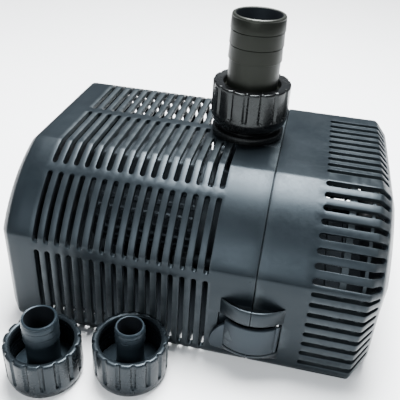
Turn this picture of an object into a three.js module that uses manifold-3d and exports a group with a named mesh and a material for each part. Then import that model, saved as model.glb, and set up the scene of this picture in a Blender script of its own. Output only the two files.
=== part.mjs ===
// Fountain submersible pump: a slotted two-part casing around a magnetic-drive pump unit,
// with a vertical outlet, a union nut and a stepped hosetail, and two spare hose fittings.
// Millimetres. +X runs along the pump axis towards the suction end, +Z is up, and the origin
// is on the underside of the casing, half way along it. "near" is the -Y side, "far" the +Y side.
import * as THREE from 'three';
import { mergeVertices } from 'three/addons/utils/BufferGeometryUtils.js';
import Module from 'manifold-3d';

const wasm = await Module();
wasm.setup();

// ---- Driving dimensions -------------------------------------------------------------------

const GAP = 0.3;
// How far a cutter stands clear of the surface that it cuts.
const PROUD = 2;
// How far joined solids run into each other.
const OVERLAP = 0.01;

// Casing cross-section: flat top, curved shoulders, upright sides, flat bottom.
const CASING_HALF_WIDTH = 93;
const CASING_HEIGHT = 104;
const TOP_HALF_WIDTH = 45;
const SHOULDER_Z = 65;
const SHOULDER_BULGE = 5.6;
const BOTTOM_RADIUS = 6;
const WALL = 3;

// Casing length.
const REAR_EDGE_X = -103.5;
const FRONT_EDGE_X = 99;
const SEAM_X = 40;
const SEAM_GAP = 0.4;
const REAR_END_X = -111.5;
const FRONT_END_X = 111.5;

// Slots of the rear cover, which run round the casing.
const REAR_SLOT = { count: 16, firstX: -86.3, pitch: 6.6, width: 2.8 };
const SPINE_HALF_WIDTH = 2.6;
const TOP_SLOT_END_Y = 61.5;
const SHOULDER_SLOT_Z = [61.7, 94.2];
const SIDE_SLOT_Z = [6.3, 56.8];
const EDGE_SLOT_Y = [79, 95];
const EDGE_SLOT_TOP_Z = 2.6;
const SHOULDER_SLOT_TRIM = 0.98;
const NOTCH_MARGIN_RADIUS = 22.7;
const NOTCH_MARGIN_Y = 17.4;
const REAR_SLOT_DEPTH = { top: 16, shoulder: 9, side: 6, edge: 1 };

// Slots of the front cover, which run along the casing and over its chamfered end.
const FRONT_SLOT_START_X = 68.5;
const FRONT_TOP_SLOT = { count: 10, pitch: 7.6, width: 2.5, endX: 104.2, depth: 13 };
const FRONT_SHOULDER_SLOT = {
  count: 8, width: 3.4, endX: 104.8, depth: 12, height: 4, firstShare: 0.09, span: 0.88,
};
const FRONT_SIDE_SLOT = {
  count: 9, lowZ: 2.6, pitch: 7.4, width: 2.8, endX: 106, leanX: 2.6, depth: 11, leanDepth: 10,
};
const GRILLE_RIB = { depth: 8, places: [[82.7, 86.2], [94.6, 96.4]] };
const SPIGOT = { length: 6, clearance: 0.4, thickness: 2 };

// Outlet, on a vertical axis.
const OUTLET_X = 17;
const NOTCH_HALF_WIDTH = 14;
const PLATFORM_START = 6;
const PIPE_RADIUS = 13.4;
const PIPE_BORE = 11.6;
const COLLAR = { radius: 22.2, lowZ: 105.2, topZ: 109.8 };
const THREAD_RADIUS = 18.5;
const NECK_TOP_Z = 126;
const SEAL_THICKNESS = 2;
const FLANGE = { radius: 18.4, thickness: 5 };
const NUT = { radius: 23.6, taper: 1.3, height: 25, band: 6, lip: 4.2, cavity: 19, hole: 17.2 };
const NUT_PANELS = 16;
const NUT_PANEL_SHARE = 0.78;
const NUT_GROOVE = 1.1;
const NUT_TOP_Z = 138.2;
const BARB_STEP = 0.7;
const BARB_RISE = 0.4;

// Hosetails, and the two spare ones, which stand on the floor in slimmer nuts.
const SPARE_NUT_RADIUS = 21.2;
const HOSETAIL = { radius: 16, bore: 13.2, topZ: 178, barbs: 3, barbLength: 8.6 };
const SPARE_TAILS = [
  { size: 20, radius: 10, bore: 7.9, topZ: 41.5, x: -69.5, y: -127.5, barbs: 3, barbLength: 4.6 },
  { size: 16, radius: 8.5, bore: 6.6, topZ: 34.5, x: -23.5, y: -114.2, barbs: 3, barbLength: 3.4 },
];

// Latches, on both sides of the casing at the seam.
const LATCH = {
  bulge: 8, halfChord: 18, topZ: 47.3, ledgeZ: 36.4, lipZ: 14.8, footZ: 8,
  clipTopZ: 34.6, clipLowZ: 15.4, clipHalfChord: 14.6, clipThickness: 2.4,
  dishDepth: 3, rim: 1.4, recess: 0.9, openZ: 10.5,
};
const EAR = { leftX: 17.6, rightX: 29, topZ: 31, lowZ: 11, thickness: 2.4, corner: 7 };
const HINGE = {
  x: 54.6, y: -93.2, pin: 1, bore: 1.35, knuckle: 1.9, pocket: 2.5, pinLowZ: 11.5, pinTopZ: 39.5,
};

// Pump unit, on a horizontal axis.
const AXIS_Z = 46;
const VOLUTE = { radius: 36, chamber: 33, rearX: 2, frontX: 32, backWall: 3, lug: 5, lugRadius: 39 };
const VOLUTE_COVER = { thickness: 4, inlet: 15, inletBore: 12, inletEndX: 50 };
const MOTOR = { radius: 37, wall: 3, rearX: -78, frontX: 1.7 };
const ROTOR_CAN = { radius: 16.5, wall: 1, rearX: -60 };
// The box on top of the motor for its wiring, and the saddle in line with it on the volute.
const WIRING_BOX = { halfWidth: 28, lowZ: 72, topZ: 90, rearX: -76, frontX: -9 };
const SADDLE = { halfWidth: 25, lowZ: 74, topZ: 88, rearX: 4, frontX: 31 };
const STATOR = { radius: 33.6, bore: 17, rearX: -46, frontX: -14, coilLength: 9 };
const ROTOR = { radius: 14.6, rearX: -50, frontX: -3, bore: 2.8 };
const SHAFT = { radius: 2.2, rearX: -57, frontX: 43 };
const IMPELLER = { radius: 27, hub: 8, blades: 6, plate: 2, rearX: 7, frontX: 25, bladeWidth: 2.2 };
const BEARING = { radius: 5, bore: 2.5, length: 6 };
const SCREW = { radius: 1.6, head: 3.4, headHeight: 2.6 };
const FOOT = { x: [-62, -14], y: 26, lowZ: 10, topZ: 26, radius: 7, padTopZ: 9.7 };
const GLAND = { y: 0, z: 26, flange: 9, neck: 6, bore: 3.6, proud: 2.6 };

const FINE = 32;
const ROUND = 20;
const SMALL = 10;

// ---- Materials ----------------------------------------------------------------------------

const FINISHES = {
  casing: { color: 0x23282c, roughness: 0.42, metalness: 0 },
  nut: { color: 0x0b0c0d, roughness: 0.28, metalness: 0 },
  tail: { color: 0x2a2c28, roughness: 0.45, metalness: 0 },
  spareTail: { color: 0x3d4a52, roughness: 0.4, metalness: 0 },
  latch: { color: 0x3c444b, roughness: 0.4, metalness: 0 },
  housing: { color: 0x16181a, roughness: 0.5, metalness: 0 },
  resin: { color: 0x101418, roughness: 0.3, metalness: 0 },
  rubber: { color: 0x111111, roughness: 0.8, metalness: 0 },
  steel: { color: 0xb8bcc0, roughness: 0.3, metalness: 1 },
  copper: { color: 0xa35a2a, roughness: 0.4, metalness: 1 },
  lamination: { color: 0x5d6063, roughness: 0.5, metalness: 1 },
  magnet: { color: 0x33353a, roughness: 0.6, metalness: 0 },
  ceramic: { color: 0xe9e6dd, roughness: 0.25, metalness: 0 },
  impeller: { color: 0xd9dad6, roughness: 0.45, metalness: 0 },
};

// ---- Solids -------------------------------------------------------------------------------

// A closed three.js geometry as a manifold solid.
function solid(geometry) {
  const bare = geometry.clone();
  bare.deleteAttribute('normal');
  bare.deleteAttribute('uv');
  const welded = mergeVertices(bare, 1e-4);
  const corners = welded.index.array;
  const kept = [];
  for (let i = 0; i < corners.length; i += 3) {
    const [a, b, c] = [corners[i], corners[i + 1], corners[i + 2]];
    if (a !== b && b !== c && c !== a) kept.push(a, b, c);
  }
  const mesh = new wasm.Mesh({
    numProp: 3,
    vertProperties: Float32Array.from(welded.attributes.position.array),
    triVerts: Uint32Array.from(kept),
  });
  return new wasm.Manifold(mesh);
}

function geometryOf(body) {
  const mesh = body.getMesh();
  const geometry = new THREE.BufferGeometry();
  geometry.setAttribute('position', new THREE.BufferAttribute(mesh.vertProperties, 3));
  geometry.setIndex(new THREE.BufferAttribute(mesh.triVerts, 1));
  geometry.computeVertexNormals();
  return geometry;
}

function cut(body, cutters) {
  return cutters.reduce((rest, cutter) => rest.subtract(cutter), body);
}

function join(bodies) {
  return bodies.reduce((whole, body) => whole.add(body));
}

// Turns an extrusion so that its sketch (u, v) lies in (y, z) and it grows along +X.
const ONTO_X = new THREE.Matrix4().makeBasis(
  new THREE.Vector3(0, 1, 0), new THREE.Vector3(0, 0, 1), new THREE.Vector3(1, 0, 0));

// Turns an extrusion so that its sketch (u, v) lies in (x, z) and it grows along -Y.
const ONTO_Y = new THREE.Matrix4().makeBasis(
  new THREE.Vector3(1, 0, 0), new THREE.Vector3(0, 0, 1), new THREE.Vector3(0, -1, 0));

function extrude(points, low, high) {
  const geometry = new THREE.ExtrudeGeometry(new THREE.Shape(points), {
    depth: high - low, bevelEnabled: false, steps: 1,
  });
  return geometry.translate(0, 0, low);
}

function circle(radius, sides, x = 0, y = 0) {
  return Array.from({ length: sides }, (_, i) => {
    const turn = (2 * Math.PI * (i + 0.5)) / sides;
    return new THREE.Vector2(x + radius * Math.cos(turn), y + radius * Math.sin(turn));
  });
}

// An upright disc, or rod, along Z.
function rodZ(radius, low, high, sides, x = 0, y = 0) {
  return solid(extrude(circle(radius, sides, x, y), low, high));
}

// A disc, or rod, along X.
function rodX(radius, low, high, sides, y = 0, z = AXIS_Z) {
  return solid(extrude(circle(radius, sides, y, z), low, high).applyMatrix4(ONTO_X));
}

function block(lowX, highX, lowY, highY, lowZ, highZ) {
  const geometry = new THREE.BoxGeometry(highX - lowX, highY - lowY, highZ - lowZ);
  return solid(geometry.translate((lowX + highX) / 2, (lowY + highY) / 2, (lowZ + highZ) / 2));
}

// A turned piece on the Z axis, from [radius, z] corners that close on themselves.
function turnedZ(corners, sides, x = 0, y = 0) {
  const profile = corners.concat([corners[0]]).map(([r, z]) => new THREE.Vector2(r, z));
  const geometry = new THREE.LatheGeometry(profile, sides);
  return solid(geometry.rotateX(Math.PI / 2).translate(x, y, 0));
}

// The same on the pump axis, from [radius, x] corners.
function turnedX(corners, sides, y = 0, z = AXIS_Z) {
  const profile = corners.concat([corners[0]]).map(([r, along]) => new THREE.Vector2(r, along));
  const geometry = new THREE.LatheGeometry(profile, sides);
  return solid(geometry.rotateZ(-Math.PI / 2).translate(0, y, z));
}

function tubeX(outer, inner, low, high, sides, y = 0, z = AXIS_Z) {
  return turnedX([[inner, low], [outer, low], [outer, high], [inner, high]], sides, y, z);
}

function mirrored(body) {
  return body.mirror([0, 1, 0]);
}

// ---- Scene --------------------------------------------------------------------------------

const pump = new THREE.Group();

function place(name, body, finish) {
  const material = new THREE.MeshStandardMaterial(FINISHES[finish]);
  const mesh = new THREE.Mesh(geometryOf(body), material);
  mesh.name = name;
  pump.add(mesh);
}

// ---- Casing -------------------------------------------------------------------------------

const MIDDLE_Z = CASING_HEIGHT / 2;

// The casing's outline in (y, z), anticlockwise seen from +X.
function casingOutline() {
  const shoulder = new THREE.Vector2(CASING_HALF_WIDTH, SHOULDER_Z);
  const crest = new THREE.Vector2(TOP_HALF_WIDTH, CASING_HEIGHT);
  const chord = crest.clone().sub(shoulder);
  const outward = new THREE.Vector2(chord.y, -chord.x).normalize();
  const pull = shoulder.clone().add(crest).multiplyScalar(0.5)
    .addScaledVector(outward, 2 * SHOULDER_BULGE);
  const right = new THREE.Path();
  right.moveTo(0, 0);
  right.lineTo(CASING_HALF_WIDTH - BOTTOM_RADIUS, 0);
  const turnY = CASING_HALF_WIDTH - BOTTOM_RADIUS;
  right.absarc(turnY, BOTTOM_RADIUS, BOTTOM_RADIUS, -Math.PI / 2, 0, false);
  right.lineTo(shoulder.x, shoulder.y);
  right.quadraticCurveTo(pull.x, pull.y, crest.x, crest.y);
  const half = right.getPoints(3)
    .filter((point, i, all) => i === 0 || point.distanceTo(all[i - 1]) > 1e-6);
  const left = half.slice(1).reverse().map((point) => new THREE.Vector2(-point.x, point.y));
  return half.slice(1).concat(left);
}

const OUTLINE = casingOutline();

// The outline drawn in by a distance, with the feet of its sides drawn in further by a toe.
function ring(x, inset, toe = 0, lean = 0) {
  return OUTLINE.map((point) => {
    const low = Math.max(0, 1 - point.y / SHOULDER_Z);
    const halfWidth = CASING_HALF_WIDTH - inset - toe * low;
    const y = (point.x * halfWidth) / CASING_HALF_WIDTH;
    const z = MIDDLE_Z + ((point.y - MIDDLE_Z) * (MIDDLE_Z - inset)) / MIDDLE_Z;
    return new THREE.Vector3(x + lean * low, y, z);
  });
}

// A solid skinned over rings of equal length, from the rear to the front.
function loft(rings) {
  const count = rings[0].length;
  const positions = rings.flat().flatMap((point) => point.toArray());
  const faces = [];
  for (let r = 0; r + 1 < rings.length; r += 1) {
    for (let i = 0; i < count; i += 1) {
      const a = r * count + i;
      const b = r * count + ((i + 1) % count);
      faces.push(a, b, b + count, a, b + count, a + count);
    }
  }
  const last = (rings.length - 1) * count;
  for (let i = 1; i + 1 < count; i += 1) {
    faces.push(0, i + 1, i);
    faces.push(last, last + i, last + i + 1);
  }
  const geometry = new THREE.BufferGeometry();
  geometry.setAttribute('position', new THREE.Float32BufferAttribute(positions, 3));
  geometry.setIndex(faces);
  return solid(geometry);
}

// A long slot sketch, lying along v.
function slotSketch(width, low, high) {
  const half = width / 2;
  return [[-half, low], [half, low], [half, high], [-half, high]].map(([u, v]) => new THREE.Vector2(u, v));
}

// A cutter whose sketch lies in the plane of two axes, sunk from above that plane to a depth.
function slotCutter(sketch, origin, alongU, alongV, height, depth) {
  const outward = new THREE.Vector3().crossVectors(alongU, alongV);
  const frame = new THREE.Matrix4().makeBasis(alongU, alongV, outward).setPosition(origin);
  return solid(extrude(sketch, -depth, height).applyMatrix4(frame));
}

const X_AXIS = new THREE.Vector3(1, 0, 0);
const Y_AXIS = new THREE.Vector3(0, 1, 0);
const Z_AXIS = new THREE.Vector3(0, 0, 1);
const SHOULDER_DIRECTION = new THREE.Vector3(
  0, TOP_HALF_WIDTH - CASING_HALF_WIDTH, CASING_HEIGHT - SHOULDER_Z).normalize();

// A point of the far shoulder at a share of its height, from its foot to its crest.
function shoulderPoint(share) {
  const chord = new THREE.Vector3(0, CASING_HALF_WIDTH, SHOULDER_Z)
    .lerp(new THREE.Vector3(0, TOP_HALF_WIDTH, CASING_HEIGHT), share);
  const outward = new THREE.Vector3().crossVectors(X_AXIS, SHOULDER_DIRECTION);
  return chord.addScaledVector(outward, SHOULDER_BULGE * 4 * share * (1 - share));
}

// The far half's slots at one station of the rear cover; the near half's are mirrored.
function rearSlots(index) {
  const { firstX, pitch, width } = REAR_SLOT;
  const depth = REAR_SLOT_DEPTH;
  const x = firstX + index * pitch;
  const reach = Math.sqrt(Math.max(0, NOTCH_MARGIN_RADIUS ** 2 - (x - OUTLET_X) ** 2));
  const startY = Math.min(NOTCH_MARGIN_Y, Math.max(SPINE_HALF_WIDTH, reach));
  const rise = CASING_HEIGHT - SHOULDER_Z;
  const lowShare = (SHOULDER_SLOT_Z[0] - SHOULDER_Z) / rise;
  const highShare = (SHOULDER_SLOT_Z[1] - SHOULDER_Z) / rise;
  const length = Math.hypot(rise, CASING_HALF_WIDTH - TOP_HALF_WIDTH);
  const foot = new THREE.Vector3(x, CASING_HALF_WIDTH, SHOULDER_Z);
  return [
    slotCutter(slotSketch(width, startY, TOP_SLOT_END_Y),
      new THREE.Vector3(x, 0, CASING_HEIGHT), X_AXIS, Y_AXIS, PROUD, depth.top),
    slotCutter(slotSketch(width, lowShare * length, highShare * length * SHOULDER_SLOT_TRIM),
      foot, X_AXIS, SHOULDER_DIRECTION, 2 * SHOULDER_BULGE, depth.shoulder),
    slotCutter(slotSketch(width, ...SIDE_SLOT_Z),
      new THREE.Vector3(x, CASING_HALF_WIDTH, 0), X_AXIS.clone().negate(), Z_AXIS, PROUD, depth.side),
    slotCutter(slotSketch(width, ...EDGE_SLOT_Y),
      new THREE.Vector3(x, 0, 0), X_AXIS, Y_AXIS, EDGE_SLOT_TOP_Z + WALL, depth.edge),
  ];
}

// ---- Latches ------------------------------------------------------------------------------

const BULGE_RADIUS = (LATCH.halfChord ** 2 + LATCH.bulge ** 2) / (2 * LATCH.bulge);
const BULGE_Y = -CASING_HALF_WIDTH - LATCH.bulge + BULGE_RADIUS;

// The near side's half-round bulge that carries the latch: a ledge above and a lip below.
function latchBulge() {
  const drum = rodZ(BULGE_RADIUS, LATCH.footZ, LATCH.topZ, 48, SEAM_X, BULGE_Y);
  const face = block(SEAM_X - 25, SEAM_X + 25, -CASING_HALF_WIDTH - 10, -CASING_HALF_WIDTH + 2, 0, 60);
  const dish = rodZ(BULGE_RADIUS - LATCH.rim, LATCH.topZ - LATCH.dishDepth, LATCH.topZ + 1, 48,
    SEAM_X, BULGE_Y);
  const proud = block(SEAM_X - 25, SEAM_X + 25, -CASING_HALF_WIDTH - 10, -CASING_HALF_WIDTH - GAP, 0, 60);
  const chin = block(SEAM_X - 25, SEAM_X + 25, -12, 0, -12, 0).rotate([-45, 0, 0])
    .translate([0, -CASING_HALF_WIDTH - 1, LATCH.footZ]);
  return drum.intersect(face).subtract(dish.intersect(proud)).subtract(chin);
}

// What the latch needs left free: a flat-floored recess, deeper at the hinge.
function latchRecess(openZ) {
  const left = SEAM_X - LATCH.halfChord - 1;
  const right = SEAM_X + LATCH.halfChord - 0.8;
  const floorY = -CASING_HALF_WIDTH + LATCH.recess;
  const window = block(left, right, -CASING_HALF_WIDTH - 12, floorY, openZ, LATCH.ledgeZ);
  const pocket = rodZ(HINGE.pocket, LATCH.lipZ, LATCH.ledgeZ, ROUND, HINGE.x, HINGE.y);
  return window.add(pocket);
}

function latchPinHole() {
  return rodZ(HINGE.pin + GAP, HINGE.pinLowZ - GAP, HINGE.pinTopZ + GAP, SMALL, HINGE.x, HINGE.y);
}

// The clip: a curved band over the seam, an ear to pull at one end and a knuckle at the other.
function latchClip() {
  const inner = BULGE_RADIUS - LATCH.clipThickness;
  const drum = rodZ(BULGE_RADIUS, LATCH.clipLowZ, LATCH.clipTopZ, 64, SEAM_X, BULGE_Y)
    .subtract(rodZ(inner, LATCH.clipLowZ - 1, LATCH.clipTopZ + 1, 64, SEAM_X, BULGE_Y));
  const span = block(SEAM_X - LATCH.clipHalfChord, SEAM_X + LATCH.clipHalfChord,
    -CASING_HALF_WIDTH - 12, -CASING_HALF_WIDTH + LATCH.recess - GAP, LATCH.clipLowZ, LATCH.clipTopZ);
  const ear = new THREE.Shape();
  const { leftX, rightX, topZ, lowZ, corner } = EAR;
  ear.moveTo(rightX, lowZ);
  ear.lineTo(rightX, topZ);
  ear.lineTo(leftX + corner, topZ);
  ear.absarc(leftX + corner, topZ - corner, corner, Math.PI / 2, Math.PI, false);
  ear.absarc(leftX + corner, lowZ + corner, corner, Math.PI, 1.5 * Math.PI, false);
  const earPlate = solid(extrude(ear.getPoints(4), CASING_HALF_WIDTH + GAP,
    CASING_HALF_WIDTH + GAP + EAR.thickness).applyMatrix4(ONTO_Y));
  const knuckle = rodZ(HINGE.knuckle, LATCH.clipLowZ, LATCH.clipTopZ, ROUND, HINGE.x, HINGE.y);
  const bore = rodZ(HINGE.bore, 0, 60, SMALL, HINGE.x, HINGE.y);
  return join([drum.intersect(span), earPlate, knuckle]).subtract(bore);
}

function latchPin() {
  return rodZ(HINGE.pin, HINGE.pinLowZ, HINGE.pinTopZ, SMALL, HINGE.x, HINGE.y);
}

const HINGE_BACKING = block(HINGE.x - 8, HINGE.x + 8, -CASING_HALF_WIDTH + WALL - 0.5,
  -CASING_HALF_WIDTH + WALL + 2, LATCH.footZ, LATCH.topZ);
const REAR_OF_SEAM = block(-200, SEAM_X - SEAM_GAP / 2, -200, 200, -10, 200);
const FRONT_OF_SEAM = block(SEAM_X + SEAM_GAP / 2, 200, -200, 200, -10, 200);

// ---- Rear cover ---------------------------------------------------------------------------

const REAR_OUTER = [
  ring(REAR_END_X, 15), ring(REAR_EDGE_X - 5, 5), ring(REAR_EDGE_X, 0), ring(SEAM_X - SEAM_GAP / 2, 0),
];
const REAR_INNER = [
  ring(REAR_END_X + WALL, 18), ring(REAR_EDGE_X - 3, 8), ring(REAR_EDGE_X + 1.2, WALL),
  ring(SEAM_X + 5, WALL),
];

function notchCutter() {
  const notch = new THREE.Shape();
  notch.moveTo(SEAM_X + 5, -NOTCH_HALF_WIDTH);
  notch.lineTo(SEAM_X + 5, NOTCH_HALF_WIDTH);
  notch.lineTo(OUTLET_X, NOTCH_HALF_WIDTH);
  notch.absarc(OUTLET_X, 0, NOTCH_HALF_WIDTH, Math.PI / 2, 1.5 * Math.PI, false);
  return solid(extrude(notch.getPoints(6), CASING_HEIGHT - 8, CASING_HEIGHT + 8));
}

function rearCover() {
  const slots = Array.from({ length: REAR_SLOT.count }, (_, i) => rearSlots(i)).flat();
  const bulge = latchBulge().intersect(REAR_OF_SEAM);
  const shell = join([loft(REAR_OUTER), bulge, mirrored(bulge)]).subtract(loft(REAR_INNER));
  const recess = latchRecess(LATCH.openZ);
  const glandHole = rodX(GLAND.neck + GAP, REAR_END_X - 5, REAR_END_X + 8, ROUND, GLAND.y, GLAND.z);
  return cut(shell, [...slots, ...slots.map(mirrored), notchCutter(), recess, mirrored(recess), glandHole]);
}

// ---- Front cover --------------------------------------------------------------------------

const FRONT_OUTER = [
  ring(SEAM_X + SEAM_GAP / 2, 0), ring(FRONT_EDGE_X, 0), ring(FRONT_EDGE_X + 7.2, 7.6, 8, 3.2),
  ring(FRONT_EDGE_X + 10.6, 17, 10, 1.2), ring(FRONT_END_X, 34, 8),
];
const FRONT_INNER = [
  ring(SEAM_X - 5, WALL), ring(FRONT_EDGE_X - 1.2, WALL), ring(FRONT_EDGE_X + 4.6, 9.6, 8, 3),
  ring(FRONT_EDGE_X + 7.6, 19, 10, 1), ring(FRONT_END_X - WALL, 34, 8),
];

function frontTopSlots() {
  const { count, pitch, width, endX, depth } = FRONT_TOP_SLOT;
  return Array.from({ length: count }, (_, i) => {
    const origin = new THREE.Vector3(0, (i - (count - 1) / 2) * pitch, CASING_HEIGHT);
    const sketch = slotSketch(width, -endX, -FRONT_SLOT_START_X);
    return slotCutter(sketch, origin, Y_AXIS, X_AXIS.clone().negate(), PROUD, depth);
  });
}

function frontShoulderSlots() {
  const { count, width, endX, depth, height, firstShare, span } = FRONT_SHOULDER_SLOT;
  return Array.from({ length: count }, (_, i) => {
    const origin = shoulderPoint(firstShare + (span * i) / (count - 1));
    const sketch = slotSketch(width, FRONT_SLOT_START_X, endX);
    return slotCutter(sketch, origin, SHOULDER_DIRECTION.clone().negate(), X_AXIS, height, depth);
  });
}

function frontSideSlots() {
  const { count, lowZ, pitch, width, endX, leanX, depth, leanDepth } = FRONT_SIDE_SLOT;
  return Array.from({ length: count }, (_, i) => {
    const z = lowZ + i * pitch;
    const low = 1 - z / SHOULDER_Z;
    const origin = new THREE.Vector3(0, CASING_HALF_WIDTH, z);
    const sketch = slotSketch(width, FRONT_SLOT_START_X, endX + leanX * low);
    return slotCutter(sketch, origin, Z_AXIS.clone().negate(), X_AXIS, PROUD, depth + leanDepth * low);
  });
}

function grilleRib([low, high]) {
  const outer = loft([ring(low, WALL - 0.6), ring(high, WALL - 0.6)]);
  return outer.subtract(loft([ring(low - 1, GRILLE_RIB.depth), ring(high + 1, GRILLE_RIB.depth)]));
}

function spigot() {
  const slip = WALL + SPIGOT.clearance;
  const root = SEAM_X + SEAM_GAP / 2;
  const outer = loft([
    ring(root - SPIGOT.length, slip), ring(root, slip), ring(root, WALL - 0.5), ring(root + 4, WALL - 0.5),
  ]);
  const inset = slip + SPIGOT.thickness;
  return outer.subtract(loft([ring(root - 10, inset), ring(root + 10, inset)]));
}

function frontCover() {
  const bulge = latchBulge().intersect(FRONT_OF_SEAM);
  const sides = [...frontShoulderSlots(), ...frontSideSlots()];
  const slots = [...frontTopSlots(), ...sides, ...sides.map(mirrored)];
  const backing = HINGE_BACKING;
  const shell = join([loft(FRONT_OUTER), bulge, mirrored(bulge)]).subtract(loft(FRONT_INNER));
  const ribs = [...GRILLE_RIB.places.map(grilleRib), spigot(), backing, mirrored(backing)];
  const openings = latchRecess(LATCH.lipZ).add(latchPinHole());
  return cut(join([cut(shell, slots), ...ribs]), [openings, mirrored(openings)]);
}

place('rear_cover', rearCover(), 'casing');
place('front_cover', frontCover(), 'casing');
place('latch_near', latchClip(), 'latch');
place('latch_far', mirrored(latchClip()), 'latch');
place('latch_pin_near', latchPin(), 'steel');
place('latch_pin_far', mirrored(latchPin()), 'steel');

// ---- Outlet fittings ----------------------------------------------------------------------

// A scalloped outline: broad flat panels parted by narrow grooves.
function nutOutline(radius) {
  const points = [];
  for (let i = 0; i < NUT_PANELS; i += 1) {
    const centre = (2 * Math.PI * i) / NUT_PANELS;
    const half = Math.PI / NUT_PANELS;
    const stops = [[-NUT_PANEL_SHARE, 0], [NUT_PANEL_SHARE, 0], [1, NUT_GROOVE]];
    for (const [share, sunk] of stops) {
      const turn = centre + share * half;
      const reach = radius - sunk;
      points.push(new THREE.Vector2(reach * Math.cos(turn), reach * Math.sin(turn)));
    }
  }
  return points;
}

// A union nut standing on a given height: a plain tapered band, then the panels, with a lip inside.
function unionNut(radius, footZ, x, y) {
  const bandZ = footZ + NUT.band;
  const topZ = footZ + NUT.height;
  const band = turnedZ([[0, footZ], [radius - NUT.taper, footZ], [radius, bandZ - NUT.taper],
    [radius, bandZ], [0, bandZ]], NUT_PANELS * 2);
  const panels = solid(extrude(nutOutline(radius), bandZ - OVERLAP, topZ));
  const bore = rodZ(NUT.cavity, footZ - 1, topZ - NUT.lip, FINE);
  const hole = rodZ(NUT.hole, footZ, topZ + 1, FINE);
  return band.add(panels).subtract(bore).subtract(hole).translate([x, y, 0]);
}

// A stepped hosetail standing on its flange.
function hosetail({ radius, bore, barbs, barbLength }, flangeZ, topZ, x, y) {
  const shoulderZ = flangeZ + FLANGE.thickness;
  const corners = [
    [bore, flangeZ], [FLANGE.radius, flangeZ], [FLANGE.radius, shoulderZ], [radius - BARB_STEP, shoulderZ],
  ];
  for (let i = barbs; i > 0; i -= 1) {
    const lowZ = topZ - i * barbLength;
    corners.push([radius - BARB_STEP, lowZ], [radius, lowZ + BARB_RISE]);
    if (i > 1) corners.push([radius - BARB_STEP / 2, lowZ + barbLength]);
  }
  corners.push([radius - BARB_STEP / 2, topZ], [bore, topZ]);
  return turnedZ(corners, ROUND, x, y);
}

function flatSeal(bore, lowZ, x, y) {
  const outer = FLANGE.radius;
  const topZ = lowZ + SEAL_THICKNESS;
  return turnedZ([[bore, lowZ], [outer, lowZ], [outer, topZ], [bore, topZ]], ROUND, x, y);
}

const MAIN_SEAL_Z = NECK_TOP_Z + GAP;
const MAIN_FLANGE_Z = MAIN_SEAL_Z + SEAL_THICKNESS + GAP;
place('union_nut', unionNut(NUT.radius, NUT_TOP_Z - NUT.height, OUTLET_X, 0), 'nut');
place('hosetail', hosetail(HOSETAIL, MAIN_FLANGE_Z, HOSETAIL.topZ, OUTLET_X, 0), 'tail');
place('hosetail_seal', flatSeal(HOSETAIL.bore, MAIN_SEAL_Z, OUTLET_X, 0), 'rubber');

for (const spare of SPARE_TAILS) {
  place(`spare_nut_${spare.size}`, unionNut(SPARE_NUT_RADIUS, 0, spare.x, spare.y), 'nut');
  place(`spare_tail_${spare.size}`, hosetail(spare, 0, spare.topZ, spare.x, spare.y), 'spareTail');
}

// ---- Pump unit ----------------------------------------------------------------------------

const LUG_TURNS = [0.25, 0.75, 1.25, 1.75].map((share) => share * Math.PI);
const LUGS = LUG_TURNS.map((turn) => [
  VOLUTE.lugRadius * Math.cos(turn), AXIS_Z + VOLUTE.lugRadius * Math.sin(turn),
]);

function lugs(low, high) {
  return LUGS.map(([y, z]) => rodX(VOLUTE.lug, low, high, SMALL, y, z));
}

function lugHoles(low, high) {
  return LUGS.map(([y, z]) => rodX(SCREW.radius + GAP, low, high, SMALL, y, z));
}

function topBox({ halfWidth, lowZ, topZ, rearX, frontX }) {
  return block(rearX, frontX, -halfWidth, halfWidth, lowZ, topZ);
}

function voluteHousing() {
  const { radius, chamber, rearX, frontX, backWall } = VOLUTE;
  const drum = join([rodX(radius, rearX, frontX, FINE), topBox(SADDLE), ...lugs(rearX, frontX)]);
  const pipe = rodZ(PIPE_RADIUS, AXIS_Z + 20, COLLAR.lowZ + OVERLAP, ROUND, OUTLET_X);
  const collar = rodZ(COLLAR.radius, COLLAR.lowZ, COLLAR.topZ, FINE, OUTLET_X);
  const neck = rodZ(THREAD_RADIUS, COLLAR.topZ - OVERLAP, NECK_TOP_Z, FINE, OUTLET_X);
  const hollow = rodX(chamber, rearX + backWall, frontX + 1, FINE);
  const bore = rodZ(PIPE_BORE, AXIS_Z, NECK_TOP_Z + 1, ROUND, OUTLET_X);
  const canHole = rodX(ROTOR_CAN.radius + GAP, rearX - 1, rearX + backWall + 1, ROUND);
  return cut(join([drum, pipe, collar, neck]), [hollow, bore, canHole, ...lugHoles(rearX - 1, frontX + 1)]);
}

// The plate that closes the rear cover's notch between the outlet pipe and the seam.
function outletPlatform() {
  const half = NOTCH_HALF_WIDTH - GAP;
  const plate = block(OUTLET_X + PLATFORM_START, SEAM_X - SEAM_GAP / 2, -half, half,
    CASING_HEIGHT - WALL, CASING_HEIGHT);
  const pipeHole = rodZ(PIPE_RADIUS + GAP, CASING_HEIGHT - WALL - 1, CASING_HEIGHT + 1, ROUND, OUTLET_X);
  return plate.subtract(pipeHole);
}

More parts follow.
